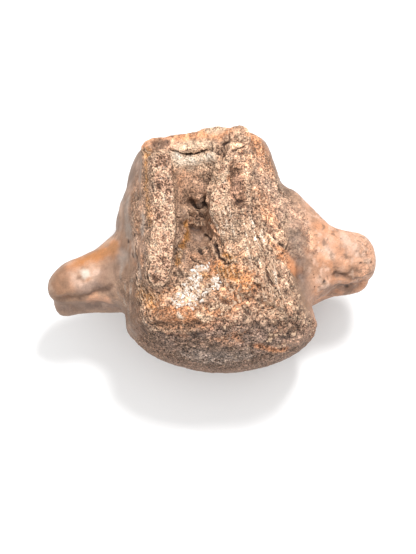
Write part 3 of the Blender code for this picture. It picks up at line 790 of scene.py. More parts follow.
STAINS = (
    # wide areas
    (ORANGE, 7.0, 0.45, [(215, 270), (235, 288)]),
    (RUST, 4.5, 0.35, [(232, 262), (245, 285), (225, 312)]),
    (PINK, 4.0, 0.5, [(358, 245), (366, 262)]),
    (PINK, 4.0, 0.4, [(262, 172), (276, 200)]),
    # painted shade on the lower side of the right process
    (UMBER, 2.8, 0.6, [(334, 290), (352, 288)]),
    # lip
    (ORANGE, 2.4, 0.85, [(148, 143), (160, 140), (175, 136), (201, 135), (215, 131), (228, 130)]),
    # painted highlights along the lip
    (CREAM, 1.6, 0.85, [(182, 145), (196, 145.5), (209, 146)]),
    (CREAM, 1.0, 0.8, [(208, 130), (220, 129)]),
    (PINK, 2.0, 0.7, [(168, 144), (178, 148)]),
    (BROWN, 1.8, 0.75, [(154, 150), (159, 144)]),
    (ORANGE, 3.8, 0.75, [(252, 140), (262, 150), (266, 163)]),
    (BROWN, 1.2, 0.45, [(258, 158), (266, 160)]),
    (TAN, 1.8, 0.6, [(238, 130), (238, 142)]),
    # ledge behind the lip
    (CREAM, 2.2, 0.95, [(174, 160), (190, 162), (210, 160)]),
    (PINK, 1.6, 0.4, [(174, 160), (190, 163), (210, 160)]),
    # canal, and the trough beside the right stump
    (TAN, 4.5, 0.6, [(184, 178), (193, 188), (198, 196)]),
    # painted shade in the cleft under the right stump's overhang
    (UMBER, 1.4, 0.4, [(194, 205), (199, 204), (204, 202)]),
    (BROWN, 3.2, 0.3, [(190, 186), (198, 196)]),
    # painted shade in the trough beside the right stump
    (BROWN, 1.9, 0.9, [(235, 168), (236, 186), (237, 200)]),
    (UMBER, 1.3, 0.5, [(235, 168), (236, 186), (237, 200)]),
    (BROWN, 3.2, 0.35, [(186, 210), (200, 214)]),
    (OLIVE, 4.2, 0.55, [(192, 238), (204, 252), (192, 264)]),
    (UMBER, 1.3, 0.65, [(193, 227), (199, 231)]),
    # ochre beside the left stump
    (OCHRE, 1.1, 0.6, [(147, 150), (146, 175), (148, 200), (150, 222)]),
    (OCHRE, 0.9, 0.9, [(185, 224), (188, 232), (184, 244), (181, 248)]),
    (OCHRE, 0.6, 0.8, [(179, 254), (178, 264)]),
    # rear of the canal
    (OCHRE, 1.5, 0.9, [(225, 256), (231, 260)]),
    (ORANGE, 2.0, 0.9, [(207, 268), (213, 270), (222, 266)]),
    (ORANGE, 2.6, 0.9, [(222, 274), (232, 274), (243, 280)]),
    (RUST, 1.2, 0.5, [(226, 276), (236, 277)]),
    (OCHRE, 1.0, 0.8, [(203, 275), (208, 277)]),
    # rear left corner
    (OCHRE, 2.2, 0.85, [(143, 292), (150, 299), (151, 306)]),
    (BROWN, 3.0, 0.6, [(146, 288), (152, 308)]),
    (ORANGE, 2.5, 0.7, [(155, 312), (158, 320), (170, 322)]),
    # bone under the calcite
    (CREAM, 2.4, 0.45, [(201, 270), (190, 284), (180, 300)]),
    (CREAM, 2.4, 0.45, [(220, 281), (205, 290), (193, 300)]),
    # slab and its undercut
    (ORANGE, 2.9, 0.85, [(165, 315), (185, 315), (204, 319)]),
    (RUST, 3.0, 0.35, [(165, 315), (185, 315), (204, 319)]),
    (BROWN, 2.2, 0.6, [(154, 318), (166, 319)]),
    (CREAM, 0.8, 0.8, [(180, 316), (182, 317)]),
    (CREAM, 1.1, 0.8, [(200, 315), (209, 318)]),
    # painted shadow under the slab: on its front face, and along the step below
    (BROWN, 1.3, 0.8, [(154, 324), (172, 327), (187, 326), (198, 323)]),
    (BROWN, 0.8, 0.5, [(153, 330), (175, 332), (196, 332), (206, 328)]),
    # right of the slab
    (ORANGE, 2.8, 0.5, [(214, 319), (236, 308)]),
    (GREY, 3.0, 0.6, [(214, 330), (235, 322), (250, 318)]),
    (BROWN, 4.5, 0.45, [(246, 306), (268, 318), (290, 322)]),
    (GREY, 2.6, 0.6, [(262, 334), (280, 340)]),
    # condyle and rear corners
    (ASH, 4.0, 0.35, [(196, 354), (240, 358)]),
    (BROWN, 3.0, 0.5, [(186, 341), (205, 345), (224, 344)]),
    (UMBER, 2.4, 0.45, [(146, 342), (170, 356), (205, 366), (234, 366), (262, 358)]),
    # painted shadow along the foot of the slab
    (DARK, 0.5, 0.6, [(158, 333), (180, 335), (200, 333), (207, 328)]),
    (PINK, 3.0, 0.5, [(290, 342), (306, 334)]),
    (UMBER, 3.4, 0.6, [(138, 316), (141, 334)]),
    (ORANGE, 1.1, 0.7, [(258, 345), (272, 349), (285, 350)]),
    # orange hollow, and the neck of the right process
    (ORANGE, 2.0, 0.95, [(285, 254), (289, 261), (296, 271)]),
    (CREAM, 0.6, 0.6, [(286, 256), (288, 261)]),
    (UMBER, 0.9, 0.6, [(301, 258), (302, 277)]),
    (BROWN, 1.2, 0.7, [(287, 245), (301, 262), (301, 278)]),
    (GREY, 1.4, 0.3, [(292, 236), (294, 246)]),
    # painted shade in the neck, between the body and the right process
    (GREY, 2.4, 0.45, [(300, 228), (304, 250), (304, 274)]),
    (GREY, 2.0, 0.55, [(305, 276), (308, 294)]),
    # right flank
    (TAN, 2.2, 0.6, [(293, 198), (303, 203), (311, 214)]),
    (PINK, 2.2, 0.6, [(292, 208), (297, 222)]),
    (ORANGE, 3.0, 0.4, [(262, 200), (270, 222)]),
    (RUST, 0.6, 0.8, [(279.5, 190), (281, 193)]),
    (PINK, 1.2, 0.8, [(240, 178), (238, 190), (233, 198)]),
    # left process
    (ORANGE, 2.8, 0.9, [(76, 262), (96, 255), (112, 248)]),
    (RUST, 2.2, 0.5, [(80, 261), (96, 256), (110, 250)]),
    (BROWN, 1.8, 0.5, [(52, 285), (53, 294)]),
    (PINK, 3.2, 0.75, [(76, 280), (86, 283), (96, 275)]),
    # painted highlights on the left process: a pale arc and, below, a bright spot
    (BLUSH, 1.2, 0.8, [(74, 278), (77, 284), (86, 286), (94, 281), (96, 274)]),
    (BROWN, 0.9, 0.8, [(79, 278), (83, 279)]),
    (BLUSH, 1.5, 0.9, [(84, 272), (86, 275)]),
    (WHITE, 0.8, 0.9, [(84, 272), (86, 275)]),
    (ORANGE, 0.7, 0.7, [(87, 277), (88, 279)]),
    # painted shadow low on the left process
    (GREY, 1.6, 0.7, [(79, 290), (90, 289), (96, 286)]),
    (GREY, 3.6, 0.4, [(119, 252), (112, 274), (108, 282)]),
    # painted shadow along the ledge under the overhang of the left process
    (UMBER, 0.8, 0.75, [(60, 299), (77, 297.5), (91, 295), (101, 291), (112, 285)]),
    (UMBER, 0.7, 0.5, [(330, 277), (345, 275.5), (357, 270)]),
    # painted shade on the lower face of the left process's ledge
    (GREY, 3.0, 0.8, [(64, 307), (84, 305), (112, 305)]),
    (UMBER, 2.4, 0.4, [(66, 303), (84, 302), (92, 302)]),
    (RUST, 3.5, 0.25, [(62, 275), (64, 288)]),
    (BROWN, 1.6, 0.6, [(112, 298), (116, 304)]),
    (PEACH, 1.9, 1.0, [(96, 299), (100, 300)]),
    (PEACH, 1.5, 1.0, [(106, 301), (107, 300)]),
    # left flank
    (BROWN, 3.2, 0.6, [(134, 176), (131, 200), (131, 240)]),
    (ASH, 1.1, 0.45, [(128, 200), (128, 236)]),
    (ASH, 0.9, 0.6, [(143, 216), (143, 234)]),
    (ASH, 1.6, 0.4, [(122, 252), (124, 262)]),
    (BROWN, 0.9, 0.5, [(135, 200), (135, 226)]),
    (TAN, 1.4, 0.5, [(121, 205), (122, 235)]),
    # right process
    # painted highlights on the right process
    (BLUSH, 1.6, 0.9, [(344, 237), (348, 241)]),
    (BLUSH, 1.5, 0.9, [(355, 248), (358, 251)]),
    (BLUSH, 1.4, 0.9, [(326, 252), (329, 256)]),
    (ORANGE, 1.6, 0.6, [(318, 225), (330, 231)]),
    (BROWN, 1.4, 0.55, [(342, 272), (350, 272)]),
    (BROWN, 1.0, 0.45, [(323, 243), (326, 246)]),
    (BROWN, 1.2, 0.6, [(363, 255), (369, 258)]),
    # painted shade on the lower side of the right process
    (UMBER, 2.0, 0.5, [(330, 288), (347, 288)]),
    # a pale ring painted as a highlight round the hole
    (BLUSH, 2.2, 0.9, [(323.6, 281.4)]),
    (BROWN, 0.9, 0.7, [(323.6, 281.4)]),
    (BROWN, 2.4, 0.55, [(312, 268), (334, 271)]),
    (UMBER, 0.9, 0.7, [(336, 273), (347, 277), (360, 281)]),
)

stain(STAINS)

# %% [markdown]
# ## Light and dark
#
# Rough bone varies in brightness from one millimetre to the next, far more than smooth bone does.
# The colour is multiplied by this, so a stain stays the same hue and gets lighter and darker.

# %% Light and dark
shading = 1.5 * clouds(points, 2.2, 64, octaves=3) + 0.8 * clouds(points, 0.9, 65, octaves=2)
shading *= rough * (1 - 0.4 * condyle)
shading += condyle_grain * clouds(points, 0.85, 70, octaves=2)
tone = tone * np.exp(shading + 0.25 * (1 - rough) * clouds(points, 3.0, 66, octaves=4))[:, None]
paint(BROWN, (1 - rough) * 0.45 * rise(patches, 0.05, 0.4))
paint(BLUSH, (1 - rough) * 0.3 * rise(-patches, 0.15, 0.5))
print("after shading:", tone.mean(axis=0).round(3))

# %% [markdown]
# ## Late touches
#
# Some marks lie on top of everything else, such as the pale ledge behind the lip, and the painted
# highlights on the lip and on the left process. They are painted after the shading, which would dull
# them.

# %% Late touches
TOUCHES = (
    (CREAM, 2.3, 0.95, [(175, 159), (190, 162), (211, 159)]),
    (BLUSH, 3.4, 0.25, [(262, 172), (272, 190), (280, 212)]),
    (BROWN, 1.2, 0.4, [(149, 170), (149, 200), (150, 224)]),
    (BROWN, 2.2, 0.35, [(141, 176), (139, 206), (138, 236)]),
    (BROWN, 3.2, 0.3, [(143, 291), (148, 298), (152, 306)]),
    (UMBER, 1.4, 0.55, [(153, 149), (158, 145), (163, 144)]),
    (WHITE, 0.5, 0.9, [(178, 155), (180, 157)]),
    (WHITE, 0.5, 0.9, [(190, 158), (193, 160)]),
    (WHITE, 0.5, 0.9, [(208, 155), (210, 156)]),
    (WHITE, 0.5, 0.9, [(168, 176), (169, 177)]),
    # painted highlights along the lip
    (CREAM, 1.0, 0.6, [(186, 145), (206, 145)]),
    (CREAM, 1.3, 0.85, [(209, 130), (221, 129)]),
    (WHITE, 0.35, 0.9, [(179, 314), (181, 317)]),
    # painted highlight on the left process
    (WHITE, 1.2, 0.95, [(84, 272), (86, 275)]),
    (CREAM, 0.9, 0.9, [(200, 315), (204, 319), (210, 317)]),
    (CREAM, 0.6, 0.8, [(212, 310), (221, 306), (229, 307)]),
    (ORANGE, 1.5, 0.7, [(285, 254), (289, 261), (296, 271)]),
    (ORANGE, 0.7, 0.6, [(228, 176), (230, 184)]),
    (ORANGE, 0.8, 0.5, [(214, 201), (222, 208)]),
    (CREAM, 2.2, 0.6, [(220, 168), (217, 184), (214, 198)]),
    (WHITE, 1.8, 0.45, [(176, 158), (190, 161), (210, 158)]),
    (TAN, 2.0, 0.4, [(190, 208), (200, 212)]),
    (OCHRE, 2.4, 0.5, [(222, 272), (234, 274), (243, 280)]),
    (OCHRE, 2.2, 0.35, [(78, 261), (96, 255), (112, 248)]),
    (OCHRE, 1.4, 0.35, [(150, 296), (152, 306)]),
    # painted shade on the lower side of the right process
    (BROWN, 2.4, 0.3, [(330, 289), (350, 288)]),
)

stain(TOUCHES)
right_process = processes * (x > 0)
paint(ORANGE, right_process * 0.45 * rise(clouds(points, 4.0, 67, octaves=3), 0.0, 0.3))
paint(PINK, right_process * 0.6 * rise(clouds(points, 5.0, 74, octaves=3), 0.05, 0.3))
paint(BROWN, right_process * 0.7 * rise(clouds(points, 1.5, 68, octaves=3), 0.22, 0.42))
paint(BLUSH, right_process * 0.5 * rise(clouds(points, 1.9, 69, octaves=3), 0.2, 0.45))

# %% Painted shade and highlights
# Painted shade: hollows, cracks and creases are painted darker, as the shade that falls in them.
paint(UMBER, 0.55 * rise(large_hollows, 0.15, 0.9))
paint(DARK, 0.85 * rise(small_hollows, 0.03, 0.16) * (0.35 + 0.65 * rough))
paint(DARK, 0.85 * cracked)
paint(UMBER, 0.5 * creases)
# Painted highlight: the crests of rough bone are painted lighter.
paint(CREAM, 0.6 * rise(-small_hollows, 0.03, 0.13) * rough * (1 - 0.6 * condyle))
# Painted shade: steep sides are painted browner, and faces that turn downwards darker.
steep = 1 - rise(normals[:, 2], 0.05, 0.6)
paint(BROWN, 0.5 * steep * (1 - back_of_bone))
paint(UMBER, 0.45 * rise(-normals[:, 2], 0.1, 0.9))
print("mean colour:", tone.mean(axis=0).round(3))

# %% [markdown]
# ## The bone's material
#
# The painted colour comes in as an attribute. A noise on Object coordinates adds what is finer than
# the skin: grain of about half a millimetre, in the colour and as a bump. The attribute "grit" says
# how much of it shows at each point, so smooth outer bone keeps its satin look and broken bone stays
# matt.

# %% Helpers for shader and geometry nodes
def add_node(tree, kind, inputs=None, **settings):
    """A new node. Each input gets a value, or a link from another node's output."""
    node = tree.nodes.new(kind)
    for label, value in settings.items():
        setattr(node, label, value)
    for label, value in (inputs or {}).items():
        if isinstance(value, bpy.types.NodeSocket):
            tree.links.new(value, node.inputs[label])
        else:
            node.inputs[label].default_value = value
    return node


def painted_colour(tree):
    return add_node(tree, "ShaderNodeAttribute", attribute_name="tone").outputs["Color"]


def object_noise(tree, **settings):
    """A noise on Object coordinates, which stays on the bone when it is moved."""
    where = add_node(tree, "ShaderNodeTexCoord").outputs["Object"]
    return add_node(tree, "ShaderNodeTexNoise", {"Vector": where, **settings}).outputs["Fac"]


def scaled_vector(tree, vector, factor):
    inputs = {0: vector, "Scale": factor}
    return add_node(tree, "ShaderNodeVectorMath", inputs, operation="SCALE").outputs["Vector"]


def finish_shader(tree, **outputs):
    """Links outputs to the shader. An input's name has _ for a space."""
    shader = tree.nodes["Principled BSDF"]
    for label, output in outputs.items():
        tree.links.new(output, shader.inputs[label.replace("_", " ")])


# %% Bone material
def make_bone_material(name):
    material = bpy.data.materials.new(name)
    material.use_nodes = True
    tree = material.node_tree
    grit = add_node(tree, "ShaderNodeAttribute", attribute_name="grit").outputs["Fac"]
    grain = object_noise(tree, Scale=2100, Detail=3, Roughness=0.6)
    contrast = add_node(tree, "ShaderNodeMapRange", {
        "Value": grain, "From Min": 0.34, "From Max": 0.66, "To Min": 0.0, "To Max": 1.95,
    }).outputs["Result"]
    softened = add_node(tree, "ShaderNodeMix", {
        "Factor": grit, "A": 1, "B": contrast,
    }, data_type="FLOAT").outputs["Result"]
    dull = add_node(tree, "ShaderNodeMapRange", {
        "Value": grit, "To Min": 0.5, "To Max": 0.85,
    }).outputs["Result"]
    depth = add_node(tree, "ShaderNodeMath", {0: grain, 1: grit}, operation="MULTIPLY").outputs["Value"]
    bump = add_node(tree, "ShaderNodeBump", {
        "Strength": 0.7, "Distance": 0.35 * MM, "Height": depth,
    }).outputs["Normal"]
    colour = scaled_vector(tree, painted_colour(tree), softened)
    finish_shader(tree, Base_Color=colour, Roughness=dull, Normal=bump)
    return material


# %% [markdown]
# ## One piece for each solid
#
# The skin is shared out at the planes where the solids are parted. Each piece is closed again with
# a flat cap over its cut, inside the bone where nothing shows. The cut's outline is hollow where the
# canal crosses it, and one large face would spill over the hollow, so the cap is made of triangles
# that keep to the outline. Its edge is marked sharp, so the cap doesn't bend the shading outside.

# %% Share out the skin
FRONT_SKEW = math.radians(1)
REAR_LEAN, REAR_SKEW = math.radians(3), math.radians(-5)
HALF_GAP = 0.15             # mm, half of what parts two solids


def node_points(name):
    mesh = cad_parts[name].data
    flat = np.empty(len(mesh.vertices) * 3)
    mesh.vertices.foreach_get("co", flat)
    return flat.reshape(-1, 3) / MM


def rim_direction(lean, skew):
    direction = np.array((-math.tan(skew), 1, -math.tan(lean)))
    return direction / np.linalg.norm(direction)


def node_box(name):
    return [np.array(corner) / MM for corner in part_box(name)]


forward = rim_direction(FRONT_LEAN, FRONT_SKEW)
backward = -rim_direction(REAR_LEAN, REAR_SKEW)
centrum_points = node_points("centrum")
middles = unbent[quads].mean(axis=1)
owner = np.zeros(len(quads), dtype=int)
owner[middles @ forward > (centrum_points @ forward).max() + HALF_GAP] = 1
owner[middles @ backward > (centrum_points @ backward).max() + HALF_GAP] = 2
owner[middles[:, 0] < node_box("left_transverse_process")[1][0] + HALF_GAP] = 3
owner[middles[:, 0] > node_box("right_transverse_process")[0][0] - HALF_GAP] = 4


def smooth_borders(owner):
    """Gives faces to a neighbour where a border would touch itself at a single point."""
    starts = quads.ravel()
    ends = np.roll(quads, -1, axis=1).ravel()
    low, high = np.minimum(starts, ends), np.maximum(starts, ends)
    order = np.lexsort((high, low))
    face_of = (np.arange(len(starts)) // 4)[order]
    first, second = face_of[0::2], face_of[1::2]
    edge_low, edge_high = low[order][0::2], high[order][0::2]
    for attempt in range(12):
        border = owner[first] != owner[second]
        crossings = np.bincount(edge_low[border], minlength=len(points))
        crossings += np.bincount(edge_high[border], minlength=len(points))
        pinched = (crossings > 2)[quads].any(axis=1)
        if not pinched.any():
            break
        owner = np.where(pinched, 0, owner)
    print("borders smoothed in", attempt, "rounds")
    return owner


owner = smooth_borders(owner)
STUMP_REACH = 0.6           # mm from a stump's solid to the skin that belongs to it
stump_of = np.zeros(len(quads), dtype=int)
for index in STUMPS:
    stump = swollen_copy([NODES[index]], 0)
    stump_tree = BVHTree.FromBMesh(stump)
    low, high = node_box(NODES[index])
    above = middles[:, 2] > low[2] - HALF_GAP
    near = np.all((middles > low - 3) & (middles < high + 3), axis=1) & above
    for face in np.flatnonzero(near):
        if stump_tree.find_nearest(Vector(middles[face] * MM), STUMP_REACH * MM)[0] is not None:
            stump_of[face] = index
    stump.free()
    print(NODES[index], "gets", int((stump_of == index).sum()), "quads")


def open_loops(faces):
    """Closed loops of the edges that only one face uses, in the direction that a cap needs."""
    starts = faces.ravel()
    ends = np.roll(faces, -1, axis=1).ravel()
    pairs = set(zip(starts.tolist(), ends.tolist()))
    following = {}
    for start, end in pairs:
        if (end, start) not in pairs:
            following.setdefault(end, []).append(start)
    loops = []
    while following:
        first = next(iter(following))
        loop = [first]
        while True:
            choices = following[loop[-1]]
            onward = choices.pop()
            if not choices:
                del following[loop[-1]]
            if onward == first:
                break
            loop.append(onward)
        loops.append(loop)
    return loops


def cap(corners, loop):
    """Triangles over a loop that lies nearly in a plane, and the points that they need besides."""
    rim = corners[loop]
    middle = rim.mean(axis=0)
    axes = np.linalg.svd(rim - middle, full_matrices=False)[2][:2]
    flat = (rim - middle) @ axes.T
    across, onward = flat.T
    if (across * np.roll(onward, -1) - onward * np.roll(across, -1)).sum() < 0:
        axes[1] *= -1
        flat[:, 1] *= -1
    outline = [Vector(place) for place in flat]
    inside_only, tolerance = 1, 1e-5
    filled = delaunay_2d_cdt(outline, [], [list(range(len(loop)))], inside_only, tolerance)
    spots, triangles, sources = filled[0], filled[2], filled[3]
    numbers, extra = [], []
    for spot, source in zip(spots, sources):
        if source:
            numbers.append(loop[source[0]])
        else:
            numbers.append(len(corners) + len(extra))
            extra.append(middle + np.array(spot) @ axes)
    return [tuple(numbers[k] for k in triangle) for triangle in triangles], extra


def make_piece(name, place, faces, colours, grit, material):
    """A closed mesh object, shaded smooth, that carries its colours as attributes."""
    used, renumbered = np.unique(faces, return_inverse=True)
    faces = renumbered.reshape(faces.shape)
    corners = place[used]
    colours, grit = colours[used], grit[used]
    polygons = faces.tolist()
    loops = open_loops(faces)
    sharp = set()
    for loop in loops:
        triangles, extra = cap(corners, loop)
        polygons += triangles
        if extra:
            corners = np.vstack((corners, extra))
            colours = np.vstack((colours, np.tile(colours[loop[0]], (len(extra), 1))))
            grit = np.append(grit, np.zeros(len(extra)))
        for a, b in zip(loop, loop[1:] + loop[:1]):
            sharp.add((min(a, b), max(a, b)))
    corners = corners * MM
    mesh = bpy.data.meshes.new(name)
    mesh.from_pydata(corners, [], polygons)
    mesh.shade_smooth()
    if sharp:
        ends = np.empty(len(mesh.edges) * 2, dtype=np.int64)
        mesh.edges.foreach_get("vertices", ends)
        ends = np.sort(ends.reshape(-1, 2), axis=1)
        flags = np.array([(a, b) in sharp for a, b in ends.tolist()])
        mesh.attributes.new("sharp_edge", "BOOLEAN", "EDGE").data.foreach_set("value", flags)
    tone_layer = mesh.attributes.new("tone", "FLOAT_COLOR", "POINT")
    tone_layer.data.foreach_set("color", np.column_stack((colours, np.ones(len(colours)))).ravel())
    grit_layer = mesh.attributes.new("grit", "FLOAT", "POINT")
    grit_layer.data.foreach_set("value", grit)
    mesh.materials.append(material)
    piece = bpy.data.objects.new(name, mesh)
    bpy.context.scene.collection.objects.link(piece)
    triangles = sum(len(polygon) - 2 for polygon in polygons)
    print(name, "has", triangles, "triangles and", len(loops), "caps")
    return piece


CORE_SINK = 0.6             # mm that the core draws back under a stump's crust
bone_material = make_bone_material("fossil_bone")
on_stump = np.bincount(quads[stump_of > 0].ravel(), minlength=len(points)) / np.bincount(quads.ravel())
under_stump = rise(blurred(on_stump, 3), 0.7, 1.0)
core = points - CORE_SINK * under_stump[:, None] * normals
for index, node in enumerate(NODES):
    if index in STUMPS:
        continue
    piece = make_piece("bone_" + node, core, quads[owner == index], tone, fine_grit, bone_material)
    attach(piece, "root")
    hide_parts(node)

# %% [markdown]
# ## Stumps of the neural arch
#
# Where the arch broke off, the inside of the bone shows: thin struts round open pores, with a rim of
# dense bone. The pores are under a millimetre wide, so these two pieces have each square of the skin
# split in four first. Then every point learns how near it is to the edge of a pore, and what lies
# inside a pore sinks. Each stump is a thick crust with an underside of its own, which lies buried in
# the core.

# %% Split squares in four
def split(quads, values):
    """Each quad in four, with values at the new points. The columns of values may be anything."""
    sides = np.concatenate([quads[:, [k, (k + 1) % 4]] for k in range(4)])
    sides = np.sort(sides, axis=1)
    edges, place = np.unique(sides, axis=0, return_inverse=True)
    place = place.reshape(4, -1).T
    count = len(values)
    grown = np.vstack((values, values[edges].mean(axis=1), values[quads].mean(axis=1)))
    middle = count + len(edges) + np.arange(len(quads))
    edge = count + place
    parts = [np.stack((quads[:, k], edge[:, k], middle, edge[:, k - 1]), axis=1) for k in range(4)]
    return np.concatenate(parts), grown


# %% Stumps
PORE = 0.9                  # mm across
CRUST = 1.6                 # mm from the top of a stump's crust to its underside
STUMP_GRIT = 0.95
sponge_rim = 4 * sponge * (1 - sponge)
gloom = np.maximum(mark([(162, 162), (171, 168)], 2.0), mark([(161, 184), (174, 185)], 1.4))


def strut_colours(light):
    """From umber by way of pink to cream, as light goes from 0 to 1."""
    darker = UMBER + (PINK - UMBER) * 2 * light
    lighter = PINK + (CREAM - PINK) * (2 * light - 1)
    return np.where(light < 0.5, darker, lighter)


def make_stump(index, seed, brightness):
    """A stump with its pores. The seed moves the pores about."""
    node = NODES[index]
    faces = quads[stump_of == index]
    used, renumbered = np.unique(faces, return_inverse=True)
    layers = np.column_stack((points, normals, tone, unbent, sponge, sponge_rim, gloom))[used]
    faces, layers = split(renumbered.reshape(faces.shape), layers)
    place, direction, colours, still = np.split(layers[:, :12], 4, axis=1)
    spongy, rim, dim = layers[:, 12:].T
    foot = still[:, 2].min()
    free = rise(still[:, 2], foot + 0.1, foot + 0.9)
    wobble = np.stack([clouds(place, 1.6, 71 + k, octaves=2) for k in range(3)], axis=1)
    nearest, following, number = grains(place + 0.4 * wobble, PORE, seed)
    strut = 1 - rise(following - nearest, 0.05, 0.5)
    uneven = clouds(place, 2.2, seed + 9)
    fine = clouds(place, 0.7, seed + 3, octaves=2)
    depth = (1 - strut) * (0.10 + 0.50 * rise(number, 0.3, 0.9)) * spongy * (1 - 0.7 * rim)
    lift = (0.22 * uneven + 0.12 * fine - depth) * free
    place = np.clip(place + direction * lift[:, None], low_mm, high_mm)
    light = brightness + 0.55 * strut + 0.9 * uneven + fine + 0.5 * rim - 0.35 * dim
    struts = strut_colours(np.clip(light, 0, 1)[:, None])
    sparkle = 0.9 * rise(number, 0.72, 0.85) * (1 - rise(nearest, 0.25, 0.6)) * rise(uneven, -0.2, 0.2)
    struts = struts * (1 - sparkle[:, None]) + WHITE * sparkle[:, None]
    share = (0.85 * free * spongy)[:, None]
    colours = colours * (1 - share) + struts * share
    count = len(place)
    walls = np.array([(a, b, b + count, a + count) for loop in open_loops(faces)
                      for a, b in zip(loop, loop[1:] + loop[:1])])
    faces = np.concatenate((faces, faces[:, ::-1] + count, walls))
    place = np.vstack((place, place - CRUST * direction))
    colours = np.vstack((colours, colours))
    grit = np.full(len(place), STUMP_GRIT)
    piece = make_piece("spongy_" + node, place, faces, colours, grit, bone_material)
    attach(piece, "root")
    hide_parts(node)


make_stump(STUMPS[0], 51, 0.15)
make_stump(STUMPS[1], 52, 0.37)

# %% [markdown]
# ## Calcite, grains and slivers
#
# Calcite grew in two streaks at the rear of the canal, grains of the rock still stick to the rear
# right corner, and slivers of bone lie along the right ridge. Hundreds of small bodies like these
# are a rule, not a model: Geometry Nodes scatters points over a patch of the skin, sets one low
# shape on each, turns and sizes it at random, and gives it one of the colours between two paints.
# The patch itself doesn't stay. The same tree serves all three, with other sizes.

# %% Scatter tree
SCATTER_INPUTS = (
    ("Geometry", "NodeSocketGeometry", None),
    ("Density", "NodeSocketFloat", 1e6),
    ("Smallest", "NodeSocketFloat", 0.3 * MM),
    ("Largest", "NodeSocketFloat", 1.0 * MM),
    ("Sides", "NodeSocketInt", 5),
    ("Taper", "NodeSocketFloat", 0.5),
    ("Proportions", "NodeSocketVector", (1, 1, 1)),
    ("Least Turn", "NodeSocketVector", (0, 0, 0)),
    ("Most Turn", "NodeSocketVector", (math.pi, math.pi, 2 * math.pi)),
    ("Dark Paint", "NodeSocketColor", (0.3, 0.2, 0.1, 1)),
    ("Light Paint", "NodeSocketColor", (0.9, 0.9, 0.8, 1)),
    ("Seed", "NodeSocketInt", 1),
)


def add_socket(tree, name, kind, value=None, side="INPUT"):
    socket = tree.interface.new_socket(name=name, in_out=side, socket_type=kind)
    if value is not None:
        socket.default_value = value


def random_between(tree, kind, seed, offset, limits=()):
    """A random value for each point, between two sockets or from 0 to 1."""
    shifted = add_node(tree, "ShaderNodeMath", {0: seed, 1: offset}, operation="ADD").outputs["Value"]
    first_limit, result = {"FLOAT_VECTOR": (0, 0), "FLOAT": (2, 1)}[kind]
    inputs = {"Seed": shifted}
    for number, limit in enumerate(limits):
        inputs[first_limit + number] = limit
    return add_node(tree, "FunctionNodeRandomValue", inputs, data_type=kind).outputs[result]


def make_scatter_tree(material):
    """Points on faces, a stub of crystal on each, realized at the end."""
    tree = bpy.data.node_groups.new("scatter_stubs", "GeometryNodeTree")
    for name, kind, value in SCATTER_INPUTS:
        add_socket(tree, name, kind, value)
    add_socket(tree, "Geometry", "NodeSocketGeometry", side="OUTPUT")
    given = add_node(tree, "NodeGroupInput").outputs
    seed = given["Seed"]

    thick = add_node(tree, "GeometryNodeInputNamedAttribute", {"Name": "thick"}, data_type="FLOAT")
    density = add_node(tree, "ShaderNodeMath", {
        0: thick.outputs["Attribute"], 1: given["Density"],
    }, operation="MULTIPLY")
    points_on = add_node(tree, "GeometryNodeDistributePointsOnFaces", {
        "Mesh": given["Geometry"], "Density": density.outputs["Value"], "Seed": seed,
    })
    stub = add_node(tree, "GeometryNodeMeshCone", {
        "Vertices": given["Sides"], "Radius Bottom": 0.5, "Radius Top": given["Taper"], "Depth": 1,
    })
    centred = add_node(tree, "GeometryNodeTransform", {
        "Geometry": stub.outputs["Mesh"], "Translation": (0, 0, -0.5),
    })
    turn = random_between(tree, "FLOAT_VECTOR", seed, 10, (given["Least Turn"], given["Most Turn"]))
    size = random_between(tree, "FLOAT", seed, 20, (given["Smallest"], given["Largest"]))
    placed = add_node(tree, "GeometryNodeInstanceOnPoints", {
        "Points": points_on.outputs["Points"],
        "Instance": centred.outputs["Geometry"],
        "Rotation": turn,
        "Scale": scaled_vector(tree, given["Proportions"], size),
    })
    blend = add_node(tree, "ShaderNodeMix", {
        "Factor": random_between(tree, "FLOAT", seed, 30),
        "A": given["Dark Paint"],
        "B": given["Light Paint"],
    }, data_type="RGBA")
    coloured = add_node(tree, "GeometryNodeStoreNamedAttribute", {
        "Geometry": placed.outputs["Instances"], "Name": "tone", "Value": blend.outputs["Result"],
    }, data_type="FLOAT_COLOR", domain="INSTANCE")
    realized = add_node(tree, "GeometryNodeRealizeInstances", {"Geometry": coloured.outputs["Geometry"]})
    finished = add_node(tree, "GeometryNodeSetMaterial", {
        "Geometry": realized.outputs["Geometry"], "Material": material,
    })
    add_node(tree, "NodeGroupOutput", {"Geometry": finished.outputs["Geometry"]})
    return tree


# %% [markdown]
# ## A finish for calcite
#
# Calcite is glossier than bone. The colour is already on each crystal, so the shader only adds a
# fine cloudiness, a slight bump and a lower roughness. Grains and slivers keep the bone's material.

# %% Calcite finish
def make_calcite_material(name):
    material = bpy.data.materials.new(name)
    material.use_nodes = True
    tree = material.node_tree
    cloudy = object_noise(tree, Scale=2400)
    light = add_node(tree, "ShaderNodeMapRange", {
        "Value": cloudy, "To Min": 0.65, "To Max": 1.2,
    }).outputs["Result"]
    bump = add_node(tree, "ShaderNodeBump", {
        "Strength": 0.5, "Distance": 0.2 * MM, "Height": cloudy,
    }).outputs["Normal"]
    finish_shader(tree, Base_Color=scaled_vector(tree, painted_colour(tree), light), Normal=bump)
    tree.nodes["Principled BSDF"].inputs["Roughness"].default_value = 0.38
    return material


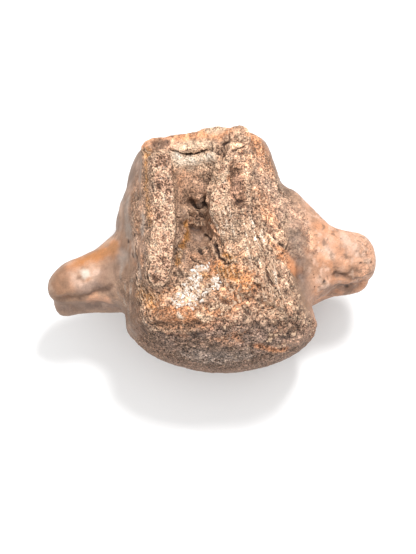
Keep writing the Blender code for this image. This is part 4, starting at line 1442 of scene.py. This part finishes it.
# %% Scatter
def scatter(name, mask, settings, tree):
    """A plain mesh of stubs over the skin where the mask is above a tenth."""
    chosen = quads[mask[quads].min(axis=1) > 0.1]
    used, renumbered = np.unique(chosen, return_inverse=True)
    mesh = bpy.data.meshes.new(name + "_patch")
    mesh.from_pydata(points[used] * MM, [], renumbered.reshape(chosen.shape).tolist())
    mesh.attributes.new("thick", "FLOAT", "POINT").data.foreach_set("value", mask[used])
    patch = bpy.data.objects.new(name + "_patch", mesh)
    bpy.context.scene.collection.objects.link(patch)
    modifier = patch.modifiers.new("scatter", "NODES")
    modifier.node_group = tree
    sockets = {item.name: item.identifier for item in tree.interface.items_tree if item.in_out == "INPUT"}
    for label, value in settings.items():
        modifier[sockets[label]] = value
    evaluated = patch.evaluated_get(bpy.context.evaluated_depsgraph_get())
    plain = bpy.data.meshes.new_from_object(evaluated)
    plain.name = name
    bpy.data.objects.remove(patch)
    piece = bpy.data.objects.new(name, plain)
    bpy.context.scene.collection.objects.link(piece)
    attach(piece, "root")
    print(name, "has", len(plain.polygons), "faces")


CALCITE_WHITE = (1, 0.98, 0.93)
calcite_tree = make_scatter_tree(make_calcite_material("calcite"))
crust_tree = make_scatter_tree(bone_material)
calcite_streaks = np.maximum(
    mark([(202, 267), (194, 279), (188, 291), (179, 302)], 1.9, soft=0.5, ragged=0.9),
    mark([(219, 279), (211, 287), (199, 296), (190, 302)], 1.5, soft=0.5, ragged=0.9),
)
scatter("calcite_crystals", calcite_streaks, {
    "Density": 2.0e6, "Smallest": 0.5 * MM, "Largest": 1.4 * MM, "Sides": 4, "Taper": 0.3,
    "Proportions": (0.75, 0.55, 1.2), "Seed": 3,
    "Dark Paint": (*CREAM, 1), "Light Paint": (*CALCITE_WHITE, 1),
}, calcite_tree)
scatter("rock_grains", rear_grain * rise(clouds(points, 3, 81), -0.1, 0.3), {
    "Density": 0.55e6, "Smallest": 0.35 * MM, "Largest": 1.3 * MM, "Sides": 6, "Taper": 0.3,
    "Proportions": (1.0, 0.9, 0.9), "Seed": 5,
    "Dark Paint": (*BROWN, 1), "Light Paint": (*CREAM, 1),
}, crust_tree)
scatter("bone_slivers", right_ridge, {
    "Density": 0.45e6, "Smallest": 0.5 * MM, "Largest": 1.3 * MM, "Sides": 5, "Taper": 0.2,
    "Proportions": (0.45, 0.35, 2.6), "Least Turn": (1.25, -0.25, 0.05), "Most Turn": (1.75, 0.25, 0.5),
    "Seed": 7, "Dark Paint": (*TAN, 1), "Light Paint": (*CREAM, 1),
}, crust_tree)

# %% [markdown]
# ## Measure and finish
#
# The dressed bone has to keep the solids' size, so both boxes are printed.

# %% Finish
low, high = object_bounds()
print("dressed box in mm:", [round(v / MM, 1) for v in high - low])
